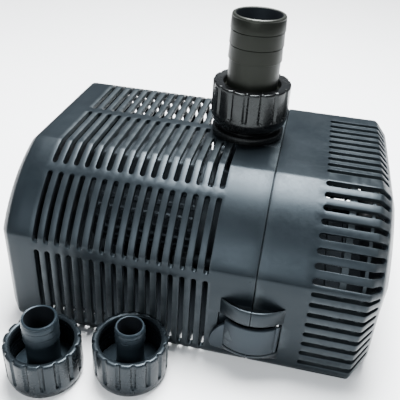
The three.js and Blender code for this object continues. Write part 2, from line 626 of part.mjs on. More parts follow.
function voluteCover() {
  const { thickness, inlet, inletBore, inletEndX } = VOLUTE_COVER;
  const low = VOLUTE.frontX + GAP;
  const disc = join([rodX(VOLUTE.radius, low, low + thickness, FINE), ...lugs(low, low + thickness)]);
  const horn = rodX(inlet, low, inletEndX, ROUND);
  const throat = rodX(inletBore, low - 1, inletEndX + 1, ROUND);
  const body = cut(disc.add(horn), [throat, ...lugHoles(low - 1, low + thickness + 1)]);
  const spiderX = SHAFT.frontX - BEARING.length + 1;
  const arm = block(spiderX, spiderX + 4, -1.5, 1.5, AXIS_Z, AXIS_Z + inletBore + 1);
  const arms = [0, 120, 240].map((turn) => arm.translate([0, 0, -AXIS_Z]).rotate([turn, 0, 0])
    .translate([0, 0, AXIS_Z]));
  const boss = rodX(BEARING.radius + 2, spiderX - 1, SHAFT.frontX + 2, ROUND);
  const socket = rodX(BEARING.radius + GAP, spiderX - 2, SHAFT.frontX + GAP, ROUND);
  return join([body, ...arms, boss]).subtract(socket);
}

function screwX(tipX, headX, y, z) {
  const shank = rodX(SCREW.radius, tipX, headX + OVERLAP, SMALL, y, z);
  return shank.add(rodX(SCREW.head, headX, headX + SCREW.headHeight, SMALL, y, z));
}

function impeller() {
  const { radius, hub, blades, plate, rearX, frontX, bladeWidth } = IMPELLER;
  const disc = rodX(radius, rearX, rearX + plate, ROUND);
  const boss = rodX(hub, ROTOR.frontX + GAP, frontX, ROUND);
  const vanes = Array.from({ length: blades }, (_, i) => {
    const vane = block(rearX + plate - 0.5, frontX, hub - 2, radius - 0.5, -bladeWidth / 2, bladeWidth / 2);
    return vane.rotate([(360 * i) / blades, 0, 0]).translate([0, 0, AXIS_Z]);
  });
  return join([disc, boss, ...vanes]).subtract(rodX(ROTOR.bore, ROTOR.frontX, frontX + 1, SMALL));
}

function motorHousing() {
  const { radius, wall, rearX, frontX } = MOTOR;
  const feet = FOOT.x.flatMap((x) => [-FOOT.y, FOOT.y].map((y) => (
    block(x - FOOT.radius, x + FOOT.radius, y - FOOT.radius, y + FOOT.radius, FOOT.lowZ, FOOT.topZ))));
  const drum = rodX(radius, rearX, frontX, FINE);
  const shell = join([drum, topBox(WIRING_BOX), ...feet, ...lugs(frontX - 8, frontX)]);
  const hollow = rodX(radius - wall, rearX - 1, frontX - wall, FINE);
  const canHole = rodX(ROTOR_CAN.radius + GAP, frontX - wall - 1, frontX + 1, ROUND);
  const ears = LUGS.map(([y, z]) => rodX(SCREW.radius + GAP, frontX - 7, frontX + 1, SMALL, y, z));
  return cut(shell, [hollow, canHole, ...ears]);
}

function rotorCan() {
  const { radius, wall, rearX } = ROTOR_CAN;
  const frontX = VOLUTE.rearX + VOLUTE.backWall;
  const bearingEndX = rearX + 2 + BEARING.length;
  return turnedX([
    [0, rearX], [radius, rearX], [radius, frontX],
    [radius - wall, frontX], [radius - wall, bearingEndX + 1],
    [BEARING.radius + GAP, bearingEndX], [BEARING.radius + GAP, rearX + 2 - GAP], [0, rearX + 2 - GAP],
  ], ROUND);
}

// The windings' overhang at one end of the stator.
function coil(lowX) {
  return tubeX(STATOR.radius - 4, STATOR.bore + 2, lowX, lowX + STATOR.coilLength, ROUND);
}

function bearing(lowX) {
  return tubeX(BEARING.radius, BEARING.bore, lowX, lowX + BEARING.length, ROUND);
}

place('volute_housing', voluteHousing(), 'housing');
place('outlet_platform', outletPlatform(), 'casing');
place('volute_cover', voluteCover(), 'housing');
LUGS.forEach(([y, z], i) => {
  const headX = VOLUTE.frontX + GAP + VOLUTE_COVER.thickness + GAP;
  place(`volute_screw_${i + 1}`, screwX(MOTOR.frontX - 6, headX, y, z), 'steel');
});
const sealRadius = VOLUTE.chamber - GAP;
place('volute_seal', tubeX(sealRadius, sealRadius - 2.7, VOLUTE.frontX - 3, VOLUTE.frontX, FINE), 'rubber');
place('motor_housing', motorHousing(), 'housing');
place('stator_core', tubeX(STATOR.radius, STATOR.bore, STATOR.rearX, STATOR.frontX, FINE), 'lamination');
place('stator_coil_front', coil(STATOR.frontX + GAP), 'copper');
place('stator_coil_rear', coil(STATOR.rearX - GAP - STATOR.coilLength), 'copper');
place('potting_cap',
  rodX(MOTOR.radius - MOTOR.wall - GAP, MOTOR.rearX, ROTOR_CAN.rearX - GAP, FINE), 'resin');
place('rotor_can', rotorCan(), 'housing');
place('rotor_magnet', tubeX(ROTOR.radius, ROTOR.bore, ROTOR.rearX, ROTOR.frontX, ROUND), 'magnet');
place('rotor_shaft', rodX(SHAFT.radius, SHAFT.rearX, SHAFT.frontX, SMALL), 'ceramic');
place('impeller', impeller(), 'impeller');
place('rear_bearing', bearing(ROTOR_CAN.rearX + 2), 'ceramic');
place('front_bearing', bearing(SHAFT.frontX - BEARING.length), 'ceramic');
FOOT.x.forEach((x, i) => {
  [-FOOT.y, FOOT.y].forEach((y, j) => {
    const damper = rodZ(FOOT.radius, WALL + GAP, FOOT.padTopZ, ROUND, x, y);
    place(`foot_damper_${2 * i + j + 1}`, damper, 'rubber');
  });
});

// The gland that the supply cord would leave by: a grommet in the rear wall.
function cableGland() {
  const { y, z, flange, neck, bore, proud } = GLAND;
  const outerX = REAR_END_X - GAP;
  const innerX = REAR_END_X + WALL + GAP;
  return turnedX([
    [bore, outerX - proud], [flange - 2, outerX - proud], [flange, outerX], [neck, outerX],
    [neck, innerX], [flange - 1, innerX], [flange - 1, innerX + 2], [bore, innerX + 2],
  ], ROUND, y, z);
}

place('cable_gland', cableGland(), 'rubber');

export default pump;
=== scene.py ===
"""Fountain submersible pump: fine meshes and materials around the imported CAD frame."""
import math

import bmesh
import bpy
import numpy as np
from mathutils import Matrix, Vector
from mathutils.geometry import delaunay_2d_cdt


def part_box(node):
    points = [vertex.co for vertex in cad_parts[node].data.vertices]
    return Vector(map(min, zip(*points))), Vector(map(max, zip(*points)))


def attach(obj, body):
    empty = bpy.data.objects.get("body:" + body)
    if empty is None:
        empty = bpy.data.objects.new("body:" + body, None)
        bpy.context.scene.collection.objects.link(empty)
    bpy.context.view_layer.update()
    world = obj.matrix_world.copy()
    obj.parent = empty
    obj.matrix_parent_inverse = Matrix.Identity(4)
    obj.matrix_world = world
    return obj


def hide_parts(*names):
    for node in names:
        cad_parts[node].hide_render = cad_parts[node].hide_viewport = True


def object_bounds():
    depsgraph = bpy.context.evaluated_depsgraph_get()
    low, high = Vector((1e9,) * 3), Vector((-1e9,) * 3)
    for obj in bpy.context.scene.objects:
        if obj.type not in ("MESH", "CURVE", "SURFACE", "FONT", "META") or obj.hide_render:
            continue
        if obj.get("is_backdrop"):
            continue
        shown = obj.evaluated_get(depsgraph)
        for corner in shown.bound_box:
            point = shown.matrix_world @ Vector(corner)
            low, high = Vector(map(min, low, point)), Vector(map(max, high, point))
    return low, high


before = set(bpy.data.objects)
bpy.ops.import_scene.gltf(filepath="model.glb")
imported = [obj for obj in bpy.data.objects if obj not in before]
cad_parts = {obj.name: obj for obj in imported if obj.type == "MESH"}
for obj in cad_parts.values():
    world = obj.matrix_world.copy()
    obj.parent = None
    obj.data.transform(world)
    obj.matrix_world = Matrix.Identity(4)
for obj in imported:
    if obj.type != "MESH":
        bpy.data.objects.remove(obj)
cad_low, cad_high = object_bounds()
MM = 0.001

# ---- Driving dimensions, in millimetres, in the CAD frame ------------------------------------


def box_mm(node):
    low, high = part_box(node)
    return low / MM, high / MM


REAR_LOW, REAR_HIGH = box_mm("rear_cover")
FRONT_END_X = box_mm("front_cover")[1].x
NUT_LOW, NUT_HIGH = box_mm("union_nut")
TAIL_LOW, TAIL_HIGH = box_mm("hosetail")
OUTLET_X = (NUT_LOW.x + NUT_HIGH.x) / 2

HEIGHT = REAR_HIGH.z
HALF_WIDTH = 93.0
TOP_HALF_WIDTH = 45.0
SHOULDER_Z = 65.0
SHOULDER_BULGE = 5.6
BOTTOM_RADIUS = 6.0
WALL = 3.0
REAR_END_X = REAR_LOW.x
REAR_EDGE_X = -103.5
FRONT_EDGE_X = 99.0
SEAM_X = 40.0
SEAM_HALF_GAP = 0.25
MIDDLE_Z = HEIGHT / 2

REAR_SLOTS = 16
REAR_SLOT_FIRST_X = -86.3
REAR_SLOT_PITCH = 6.6
REAR_SLOT_WIDTH = 2.9
# The heights where the rear rows of slots end, from the top down.
REAR_TOP_ROW_LOW_Z = 96.9
REAR_SHOULDER_ROW_Z = (94.0, 61.7)
REAR_SIDE_ROW_Z = (56.8, 6.6)
REAR_EDGE_ROW_HIGH_Z, REAR_EDGE_ROW_REACH = 2.6, 9.0
TOP_ROW_START_MIN, TOP_ROW_START_MAX = 2.6, 17.4
COLLAR_CLEARANCE = 22.7

FRONT_SLOT_START_X = 68.5
FRONT_TOP_ROW = {"count": 10, "pitch": 7.6, "width": 3.6, "overhang": 7.6}
FRONT_SHOULDER_ROW = {"count": 8, "pitch": 8.1, "width": 3.6, "overhang": 8.6, "first": 2.2}
FRONT_SIDE_ROW = {"count": 9, "pitch": 7.35, "width": 2.9, "overhang": 8.8, "gain": 0.5, "top_z": 61.6}

LIP = 0.45
CREASE_REACH = 1.1

NOTCH_HALF_WIDTH = 14.0


# ---- Mesh tools ------------------------------------------------------------------------------


def new_object(name, mesh):
    piece = bpy.data.objects.new(name, mesh)
    bpy.context.scene.collection.objects.link(piece)
    return piece


def mesh_from(name, points, faces, smooth=True, sharp_angle=None):
    """A mesh object from points in millimetres."""
    mesh = bpy.data.meshes.new(name)
    mesh.from_pydata([tuple(np.asarray(p, float) * MM) for p in points], [], faces)
    mesh.validate()
    work = bmesh.new()
    work.from_mesh(mesh)
    bmesh.ops.remove_doubles(work, verts=work.verts, dist=1e-6)
    bmesh.ops.recalc_face_normals(work, faces=work.faces)
    work.to_mesh(mesh)
    work.free()
    for polygon in mesh.polygons:
        polygon.use_smooth = smooth
    if sharp_angle is not None:
        mesh.set_sharp_from_angle(angle=math.radians(sharp_angle))
    return new_object(name, mesh)


def bevel(piece, width, segments=3, angle=32):
    modifier = piece.modifiers.new("rounding", "BEVEL")
    modifier.width = width * MM
    modifier.segments = segments
    modifier.limit_method = "ANGLE"
    modifier.angle_limit = math.radians(angle)
    modifier.harden_normals = False
    apply_modifiers(piece)
    return piece


def apply_modifiers(piece):
    graph = bpy.context.evaluated_depsgraph_get()
    mesh = bpy.data.meshes.new_from_object(piece.evaluated_get(graph))
    piece.modifiers.clear()
    piece.data = mesh


def smooth_by_angle(piece, angle=35):
    for polygon in piece.data.polygons:
        polygon.use_smooth = True
    piece.data.set_sharp_from_angle(angle=math.radians(angle))
    return piece


def join(name, pieces):
    """Joins mesh objects into the first one and renames it."""
    work = bmesh.new()
    for piece in pieces:
        work.from_mesh(piece.data)
    mesh = bpy.data.meshes.new(name)
    work.to_mesh(mesh)
    work.free()
    for piece in pieces:
        bpy.data.objects.remove(piece)
    return new_object(name, mesh)


def subtract(piece, cutter):
    """Cuts a closed mesh out of another and drops the cutter."""
    modifier = piece.modifiers.new("cut", "BOOLEAN")
    modifier.operation = "DIFFERENCE"
    modifier.solver = "EXACT"
    modifier.object = cutter
    apply_modifiers(piece)
    bpy.data.objects.remove(cutter)
    return piece


def lathe(name, profile, segments=96, axis="Z", centre=(0, 0, 0), sharp=32, wave=None):
    """Turns [radius, height] corners about an axis; wave(angle, index) shifts a corner's radius."""
    rows = len(profile)
    points = []
    for column in range(segments):
        turn = 2 * math.pi * column / segments
        for row, (radius, along) in enumerate(profile):
            reach = radius + (wave(turn, row) if wave else 0)
            points.append(on_axis(reach * math.cos(turn), reach * math.sin(turn), along, axis, centre))
    faces = []
    for column in range(segments):
        after = (column + 1) % segments
        for row in range(rows):
            up = (row + 1) % rows
            faces.append((column * rows + row, after * rows + row, after * rows + up, column * rows + up))
    return mesh_from(name, points, faces, sharp_angle=sharp)


def on_axis(u, v, along, axis, centre):
    cx, cy, cz = centre
    if axis == "Z":
        return (cx + u, cy + v, cz + along)
    if axis == "X":
        return (cx + along, cy + u, cz + v)
    return (cx + v, cy + along, cz + u)


def rounded(corners, radius, steps):
    """Replaces each corner of a closed profile by a small arc-like curve."""
    result = []
    count = len(corners)
    for i, corner in enumerate(corners):
        here = Vector(corner)
        before = Vector(corners[i - 1]) - here
        after = Vector(corners[(i + 1) % count]) - here
        reach = min(radius, before.length * 0.45, after.length * 0.45)
        start = here + before.normalized() * reach
        end = here + after.normalized() * reach
        for step in range(steps + 1):
            t = step / steps
            point = start * (1 - t) ** 2 + here * (2 * t * (1 - t)) + end * t**2
            result.append((point.x, point.y))
    return result


def prism(name, outline, low, high, axis="Z", centre=(0, 0, 0), rounding=0.0, segments=3):
    """Extrudes a flat outline along an axis and rounds its edges."""
    count = len(outline)
    points = [on_axis(u, v, low, axis, centre) for u, v in outline]
    points += [on_axis(u, v, high, axis, centre) for u, v in outline]
    faces = [tuple(range(count - 1, -1, -1)), tuple(range(count, 2 * count))]
    faces += [(i, (i + 1) % count, count + (i + 1) % count, count + i) for i in range(count)]
    piece = mesh_from(name, points, faces, smooth=False)
    if rounding:
        bevel(piece, rounding, segments)
    return smooth_by_angle(piece)


def cuboid(name, low, high, rounding=0.4, segments=3):
    outline = [(low[0], low[1]), (high[0], low[1]), (high[0], high[1]), (low[0], high[1])]
    return prism(name, outline, low[2], high[2], rounding=rounding, segments=segments)


def circle(radius, count=48, centre=(0, 0)):
    turns = [2 * math.pi * i / count for i in range(count)]
    return [(centre[0] + radius * math.cos(t), centre[1] + radius * math.sin(t)) for t in turns]


def mirror_y(piece, name):
    mesh = piece.data.copy()
    mesh.transform(Matrix.Scale(-1, 4, (0, 1, 0)))
    mesh.flip_normals()
    return new_object(name, mesh)


# ---- The casing's surface ----------------------------------------------------------------------
# A place on the casing is (u, s): u runs along the casing and down over its chamfered end, and s
# runs round its outline from the middle of the top, positive on the far side.


SHOULDER_STEPS = 60


def casing_outline():
    """Half of the outline as dense points, from the top centre round to the bottom centre."""
    crest = np.array([TOP_HALF_WIDTH, HEIGHT])
    foot = np.array([HALF_WIDTH, SHOULDER_Z])
    chord = crest - foot
    outward = np.array([chord[1], -chord[0]]) / np.linalg.norm(chord)
    pull = (crest + foot) / 2 + outward * 2 * SHOULDER_BULGE
    t = np.linspace(0, 1, SHOULDER_STEPS)[:, None]
    shoulder = crest * (1 - t) ** 2 + pull * 2 * t * (1 - t) + foot * t**2
    turn = np.linspace(0, -math.pi / 2, 16)
    corner_y = HALF_WIDTH - BOTTOM_RADIUS + BOTTOM_RADIUS * np.cos(turn)
    corner = np.stack([corner_y, BOTTOM_RADIUS + BOTTOM_RADIUS * np.sin(turn)], 1)
    return np.vstack([[[0, HEIGHT]], shoulder, corner, [[0, 0]]])


HALF_OUTLINE = casing_outline()
HALF_STEPS = np.concatenate([[0], np.cumsum(np.linalg.norm(np.diff(HALF_OUTLINE, axis=0), axis=1))])
S_END = HALF_STEPS[-1]
S_CREST = TOP_HALF_WIDTH
S_SHOULDER = float(HALF_STEPS[SHOULDER_STEPS])
S_CORNER = S_SHOULDER + SHOULDER_Z - BOTTOM_RADIUS
S_FLOOR = S_CORNER + BOTTOM_RADIUS * math.pi / 2


def around(values):
    """Each value with a neighbour on both sides, so that a rounded crease gets its own rows."""
    return [value + shift for value in values for shift in (-CREASE_REACH, 0, CREASE_REACH)]


CREASES_S = around([S_CREST, S_SHOULDER, S_CORNER, S_FLOOR])
CREASES_S += [S_SHOULDER * k / 12 + S_CREST * (12 - k) / 12 for k in range(1, 12)]


def outline_at(s):
    s = (s + S_END) % (2 * S_END) - S_END
    reach = np.abs(s)
    y = np.interp(reach, HALF_STEPS, HALF_OUTLINE[:, 0]) * np.where(s < 0, -1, 1)
    z = np.interp(reach, HALF_STEPS, HALF_OUTLINE[:, 1])
    return y, z


# Stations along u, each with x, inset, toe and lean, as the CAD rings have.
FRONT_STATIONS = np.array([
    [-200, -200, 0, 0, 0],
    [FRONT_EDGE_X, FRONT_EDGE_X, 0, 0, 0],
    [FRONT_EDGE_X + 10.5, FRONT_EDGE_X + 7.2, 7.6, 8, 3.2],
    [FRONT_EDGE_X + 20.5, FRONT_EDGE_X + 10.6, 17, 10, 1.2],
    [FRONT_EDGE_X + 37.6, FRONT_END_X, 34, 8, 0],
    [FRONT_EDGE_X + 60, FRONT_END_X, 50, 4, 0],
])
REAR_STATIONS = np.array([
    [REAR_EDGE_X - 40, REAR_END_X, 42.6, 0, 0],
    [REAR_EDGE_X - 17.5, REAR_END_X, 15, 0, 0],
    [REAR_EDGE_X - 7.07, REAR_EDGE_X - 5, 5, 0, 0],
    [REAR_EDGE_X, REAR_EDGE_X, 0, 0, 0],
    [200, 200, 0, 0, 0],
])
FRONT_LAST_U = FRONT_EDGE_X + 37.6
REAR_FIRST_U = REAR_EDGE_X - 19


def raw_surface(u, s, stations):
    x, inset, toe, lean = (np.interp(u, stations[:, 0], stations[:, k]) for k in range(1, 5))
    y, z = outline_at(s)
    low = np.maximum(0, 1 - z / SHOULDER_Z)
    width = (HALF_WIDTH - inset - toe * low) / HALF_WIDTH
    height = (MIDDLE_Z - inset) / MIDDLE_Z
    return np.stack([x + lean * low, y * width, MIDDLE_Z + (z - MIDDLE_Z) * height], -1)


SOFTEN = np.array([-1.0, -0.5, 0, 0.5, 1.0])


def smooth_surface(u, s, stations):
    """The surface with its creases rounded, by averaging over a small window."""
    total = 0
    for du in SOFTEN:
        for ds in SOFTEN:
            total = total + raw_surface(u + du, s + ds, stations)
    return total / len(SOFTEN) ** 2


def surface(u, s, depth, stations):
    """Points at a depth under the casing's outer surface."""
    u, s, depth = (np.asarray(v, float) for v in (u, s, depth))
    point = smooth_surface(u, s, stations)
    step = 1.2
    along_u = smooth_surface(u + step, s, stations) - smooth_surface(u - step, s, stations)
    along_s = smooth_surface(u, s + step, stations) - smooth_surface(u, s - step, stations)
    normal = np.cross(along_s, along_u)
    normal /= np.linalg.norm(normal, axis=-1, keepdims=True) + 1e-12
    outward = np.sign(np.sum(normal * (point - np.array([0, 0, MIDDLE_Z])), -1, keepdims=True))
    return point - normal * outward * depth[..., None]


# ---- Shells with slots ---------------------------------------------------------------------------


def spaced(start, end, spacing, breaks=()):
    """Values from start to end, at most a spacing apart, with the breaks between them."""
    low, high = min(start, end) + 0.3, max(start, end) - 0.3
    stops = sorted({start, end, *(b for b in breaks if low < b < high)})
    if end < start:
        stops.reverse()
    values = []
    for a, b in zip(stops[:-1], stops[1:]):
        count = max(1, math.ceil(abs(b - a) / spacing))
        values += [a + (b - a) * i / count for i in range(count)]
    return values + [end]


def slot_loop(along_s, centre, low, high, width, breaks):
    """A closed stadium loop as (points, outward normals) in (u, s)."""
    half = width / 2
    arc = 5
    straight = spaced(low + half, high - half, 5.0, breaks)
    points, normals = [], []
    for v in straight:
        points.append((half, v))
        normals.append((1, 0))
    for i in range(1, arc):
        turn = math.pi * i / arc
        points.append((half * math.cos(turn), high - half + half * math.sin(turn)))
        normals.append((math.cos(turn), math.sin(turn)))
    for v in reversed(straight):
        points.append((-half, v))
        normals.append((-1, 0))
    for i in range(1, arc):
        turn = math.pi + math.pi * i / arc
        points.append((half * math.cos(turn), low + half + half * math.sin(turn)))
        normals.append((math.cos(turn), math.sin(turn)))
    points, normals = np.array(points), np.array(normals)
    if along_s:
        points = points + [centre, 0]
    else:
        points = points[:, ::-1] + [0, centre]
        normals = normals[:, ::-1]
    return points, normals


class Slot:
    """A stadium hole in (u, s)."""

    def __init__(self, along_s, centre, low, high, width, breaks):
        self.along_s, self.centre = along_s, centre
        self.low, self.high, self.width = low, high, width
        self.blind = None
        self.points, self.normals = slot_loop(along_s, centre, low, high, width, breaks)

    def distance(self, points):
        """Signed distance of points from the slot's edge, negative inside."""
        across, along = (points[:, 0], points[:, 1]) if self.along_s else (points[:, 1], points[:, 0])
        half = self.width / 2
        nearest = np.clip(along, self.low + half, self.high - half)
        return np.hypot(across - self.centre, along - nearest) - half


class Window:
    """A polygon hole in (u, s) with rounded corners: through the wall, or blind to a depth."""

    def __init__(self, corners, rounding, blind):
        self.blind = blind
        loop = []
        count = len(corners)
        for i in range(count):
            a, b = Vector(corners[i]), Vector(corners[(i + 1) % count])
            edge = (b - a).normalized()
            values = spaced(0, (b - a).length - 2 * rounding, 4.0)
            loop += [a + edge * (rounding + v) for v in values]
            c = Vector(corners[(i + 2) % count])
            after = (c - b).normalized()
            centre = b - edge * rounding + after * rounding
            for step in (1, 2, 3):
                turn = step / 4 * math.pi / 2
                loop.append(centre + (edge * math.sin(turn) - after * math.cos(turn)) * rounding)
        self.points = np.array([tuple(p) for p in loop])
        tangent = np.roll(self.points, -1, 0) - np.roll(self.points, 1, 0)
        tangent /= np.linalg.norm(tangent, axis=1, keepdims=True)
        self.normals = np.stack([tangent[:, 1], -tangent[:, 0]], 1)

    def distance(self, points):
        inside = np.zeros(len(points), bool)
        best = np.full(len(points), 1e9)
        for a, b in zip(self.points, np.roll(self.points, -1, 0)):
            crosses = (a[1] > points[:, 1]) != (b[1] > points[:, 1])
            with np.errstate(divide="ignore", invalid="ignore"):
                at = a[0] + (points[:, 1] - a[1]) * (b[0] - a[0]) / (b[1] - a[1])
            inside ^= crosses & (points[:, 0] < at)
            edge = b - a
            t = np.clip(((points - a) @ edge) / (edge @ edge), 0, 1)
            best = np.minimum(best, np.linalg.norm(points - (a + t[:, None] * edge), axis=1))
        return np.where(inside, -best, best)


HOLE_CLEARANCE = LIP + 0.55
LIP_INSIDE = LIP * 0.98


def shell(name, stations, u_seam, u_end, holes, mouth=None):
    """A closed shell over (u, s) with rounded holes; the last ring is capped flat."""
    spacing = 6.0
    low_u, high_u = min(u_seam, u_end), max(u_seam, u_end)
    corner_arc = [S_CORNER + (S_FLOOR - S_CORNER) * k / 4 for k in (1, 2, 3)]
    creases_s = [side * s for side in (-1, 1) for s in CREASES_S + corner_arc]
    creases_u = around(stations[:, 0])
    rows_s = np.array(spaced(-S_END, S_END, 7.0, creases_s))
    rows_u = np.array(spaced(low_u, high_u, spacing, creases_u))
    grid = np.array([(u, s) for u in rows_u[1:-1] for s in rows_s[1:-1]])
    keep = np.ones(len(grid), bool)
    for hole in holes:
        keep &= hole.distance(grid) > HOLE_CLEARANCE
    if mouth is not None:
        keep &= mouth.distance(grid) > HOLE_CLEARANCE
    grid = grid[keep]
    # The outer boundary: along the seam, then along the far edge.
    seam_sign = 1 if u_end > u_seam else -1
    inset_seam = u_seam + seam_sign * LIP
    if mouth is None:
        seam_path = [(inset_seam, s) for s in rows_s]
        seam_normals = [(seam_sign, 0)] * len(seam_path)
    else:
        seam_path, seam_normals = mouth.path(inset_seam, rows_s)
    far_path = [(u_end, s) for s in rows_s]
    low_side = [(u, -S_END) for u in spaced(inset_seam, u_end, spacing, creases_u)[1:-1]]
    high_side = [(u, S_END) for u in spaced(inset_seam, u_end, spacing, creases_u)[1:-1]]
    points, edges = [], []

    def add_path(path, closed=False):
        start = len(points)
        points.extend(tuple(map(float, p)) for p in path)
        count = len(path)
        edges.extend((start + i, start + i + 1) for i in range(count - 1))
        if closed:
            edges.append((start + count - 1, start))
        return list(range(start, start + count))

    seam_ids = add_path(seam_path)
    high_ids = add_path(high_side)
    far_ids = add_path(far_path[::-1])
    low_ids = add_path(low_side[::-1])
    edges += [(seam_ids[-1], high_ids[0]), (high_ids[-1], far_ids[0])]
    edges += [(far_ids[-1], low_ids[0]), (low_ids[-1], seam_ids[0])]
    loops = [add_path(hole.points + hole.normals * LIP, closed=True) for hole in holes]
    points.extend(map(tuple, grid))
    verts, _, faces, originals, _, _ = delaunay_2d_cdt([Vector(p) for p in points], edges, [], 0, 1e-5)
    flat = np.array([tuple(v) for v in verts])
    lookup = {}
    for index, sources in enumerate(originals):
        for source in sources:
            lookup[source] = index
    middles = np.array([flat[list(face)].mean(0) for face in faces])
    keep = (middles[:, 0] - inset_seam) * seam_sign > -1e-6
    if mouth is not None:
        keep &= mouth.distance(middles) > LIP_INSIDE
    floors = []
    skin = keep.copy()
    for hole in holes:
        inside = hole.distance(middles) <= LIP_INSIDE
        skin &= ~inside
        if hole.blind is None:
            keep &= ~inside
        floors.append([face for face, kept in zip(faces, inside) if kept])
    inner_faces = [face for face, kept in zip(faces, keep) if kept]
    faces = [face for face, kept in zip(faces, skin) if kept]
    count = len(flat)
    outer = surface(flat[:, 0], flat[:, 1], np.zeros(count), stations)
    inner = surface(flat[:, 0], flat[:, 1], np.full(count, WALL), stations)
    all_points = [outer, inner]
    all_faces = [tuple(face) for face in faces]
    all_faces += [tuple(i + count for i in reversed(face)) for face in inner_faces]
    total = 2 * count

    def add_rim(ids, path, normals, closed, blind=None, floor=()):
        nonlocal total
        turns = (math.pi / 6, math.pi / 3, math.pi / 2)
        rim = [(LIP * (1 - math.sin(t)), LIP * (1 - math.cos(t))) for t in turns]
        rim.append((0.0, WALL if blind is None else blind))
        ids = [lookup[i] for i in ids]
        base = np.asarray(path, float)
        normals_array = np.asarray(normals, float)
        n = len(ids)
        previous = ids
        span = n if closed else n - 1
        for offset, depth in rim:
            uv = base + normals_array * (offset - LIP)
            all_points.append(surface(uv[:, 0], uv[:, 1], np.full(n, depth), stations))
            current = list(range(total, total + n))
            total += n
            for i in range(span):
                j = (i + 1) % n
                all_faces.append((previous[i], previous[j], current[j], current[i]))
            previous = current
        if blind is not None:
            sunk = dict(zip(ids, current))
            all_faces.extend(tuple(sunk[i] for i in face) for face in floor)
            return
        inner_ids = [i + count for i in ids]
        for i in range(span):
            j = (i + 1) % n
            all_faces.append((previous[i], previous[j], inner_ids[j], inner_ids[i]))

    for hole, ids, floor in zip(holes, loops, floors):
        add_rim(ids, hole.points + hole.normals * LIP, hole.normals, True, hole.blind, floor)
    add_rim(seam_ids, seam_path, seam_normals, False)
    # Flat caps on the last ring.
    far = [lookup[i] for i in far_ids]
    all_faces.append(tuple(far[:-1]))
    all_faces.append(tuple(i + count for i in reversed(far[:-1])))
    merged = np.vstack(all_points)
    merged[:, 0] = np.clip(merged[:, 0], REAR_END_X, FRONT_END_X)
    piece = mesh_from(name, merged, all_faces)
    piece.data.set_sharp_from_angle(angle=math.radians(24))
    return piece


class Mouth:
    """The notch in the rear cover's top: a round-ended bay open to the seam."""

    def __init__(self, end_u, half):
        self.half = half
        self.side_u = end_u + half

    def distance(self, points):
        beyond = np.maximum(self.side_u - points[:, 0], 0)
        return np.hypot(beyond, points[:, 1]) - self.half

    def path(self, inset_seam, seam_s):
        """The seam from the near to the far bottom, turning in round the notch at the lip's offset."""
        radius = self.half + LIP
        points = [(inset_seam, s) for s in seam_s if s < -radius - 1.5]
        normals = [(-1, 0)] * len(points)
        points.append((inset_seam, -radius))
        normals.append((-1, -1))
        for u in spaced(inset_seam - 0.6, self.side_u, 4.0):
            points.append((u, -radius))
            normals.append((0, -1))
        for i in range(1, 7):
            turn = math.pi / 2 * i / 6
            points.append((self.side_u - radius * math.sin(turn), -radius * math.cos(turn)))
            normals.append((-math.sin(turn), -math.cos(turn)))
        mirrored = [((u, -v), (a, -b)) for (u, v), (a, b) in zip(points, normals)]
        tail = [pair for pair in reversed(mirrored) if pair[0][1] > 0.1]
        return points + [p for p, _ in tail], normals + [n for _, n in tail]


def s_of_side(z):
    """The place round the outline of a height on the upright side."""
    return S_SHOULDER + SHOULDER_Z - z


def s_of_shoulder(z):
    """The place round the outline of a height on the shoulder."""
    rows = (HALF_STEPS >= S_CREST - 1e-6) & (HALF_STEPS <= S_SHOULDER + 1e-6)
    return float(np.interp(-z, -HALF_OUTLINE[rows, 1], HALF_STEPS[rows]))


def rear_holes():
    holes = []
    for index in range(REAR_SLOTS):
        x = REAR_SLOT_FIRST_X + index * REAR_SLOT_PITCH
        reach = math.sqrt(max(0.0, COLLAR_CLEARANCE**2 - (x - OUTLET_X) ** 2))
        start = min(TOP_ROW_START_MAX, max(TOP_ROW_START_MIN, reach))
        spans = [
            (start, s_of_shoulder(REAR_TOP_ROW_LOW_Z)),
            (s_of_shoulder(REAR_SHOULDER_ROW_Z[0]), s_of_side(REAR_SHOULDER_ROW_Z[1])),
            (s_of_side(REAR_SIDE_ROW_Z[0]), s_of_side(REAR_SIDE_ROW_Z[1])),
            (s_of_side(REAR_EDGE_ROW_HIGH_Z), S_FLOOR + REAR_EDGE_ROW_REACH),
        ]
        for low, high in spans:
            for side in (-1, 1):
                ends = sorted((side * low, side * high))
                holes.append(Slot(True, x, *ends, REAR_SLOT_WIDTH, [side * s for s in CREASES_S]))
    return holes


def front_slot(s, start, end, width):
    return Slot(False, s, start, end, width, around([FRONT_EDGE_X]))


def front_holes():
    holes = []
    row = FRONT_TOP_ROW
    for i in range(row["count"]):
        s = (i - (row["count"] - 1) / 2) * row["pitch"]
        holes.append(front_slot(s, FRONT_SLOT_START_X, FRONT_EDGE_X + row["overhang"], row["width"]))
    row = FRONT_SHOULDER_ROW
    for i in range(row["count"]):
        s = S_CREST + row["first"] + i * row["pitch"]
        for side in (-1, 1):
            end = FRONT_EDGE_X + row["overhang"]
            holes.append(front_slot(side * s, FRONT_SLOT_START_X, end, row["width"]))
    row = FRONT_SIDE_ROW
    for i in range(row["count"]):
        s = s_of_side(row["top_z"] - i * row["pitch"])
        end = FRONT_EDGE_X + row["overhang"] + row["gain"] * i / (row["count"] - 1)
        for side in (-1, 1):
            holes.append(front_slot(side * s, FRONT_SLOT_START_X + 0.6, end, row["width"]))
    return holes


LATCH_LOW_Z = 14.8
LATCH_LEDGE_Z = 36.4
LATCH_TOP_Z = 47.3
LATCH_FOOT_Z = 8.0
BULGE = 8.0
BULGE_CHORD = 18.0
BULGE_RADIUS = (BULGE_CHORD**2 + BULGE**2) / (2 * BULGE)
BULGE_Y = -HALF_WIDTH - BULGE + BULGE_RADIUS
RECESS_DEPTH = 2.4
RECESS_ROUNDING = 0.6
RECESS_SEAM_GAP = 1.6


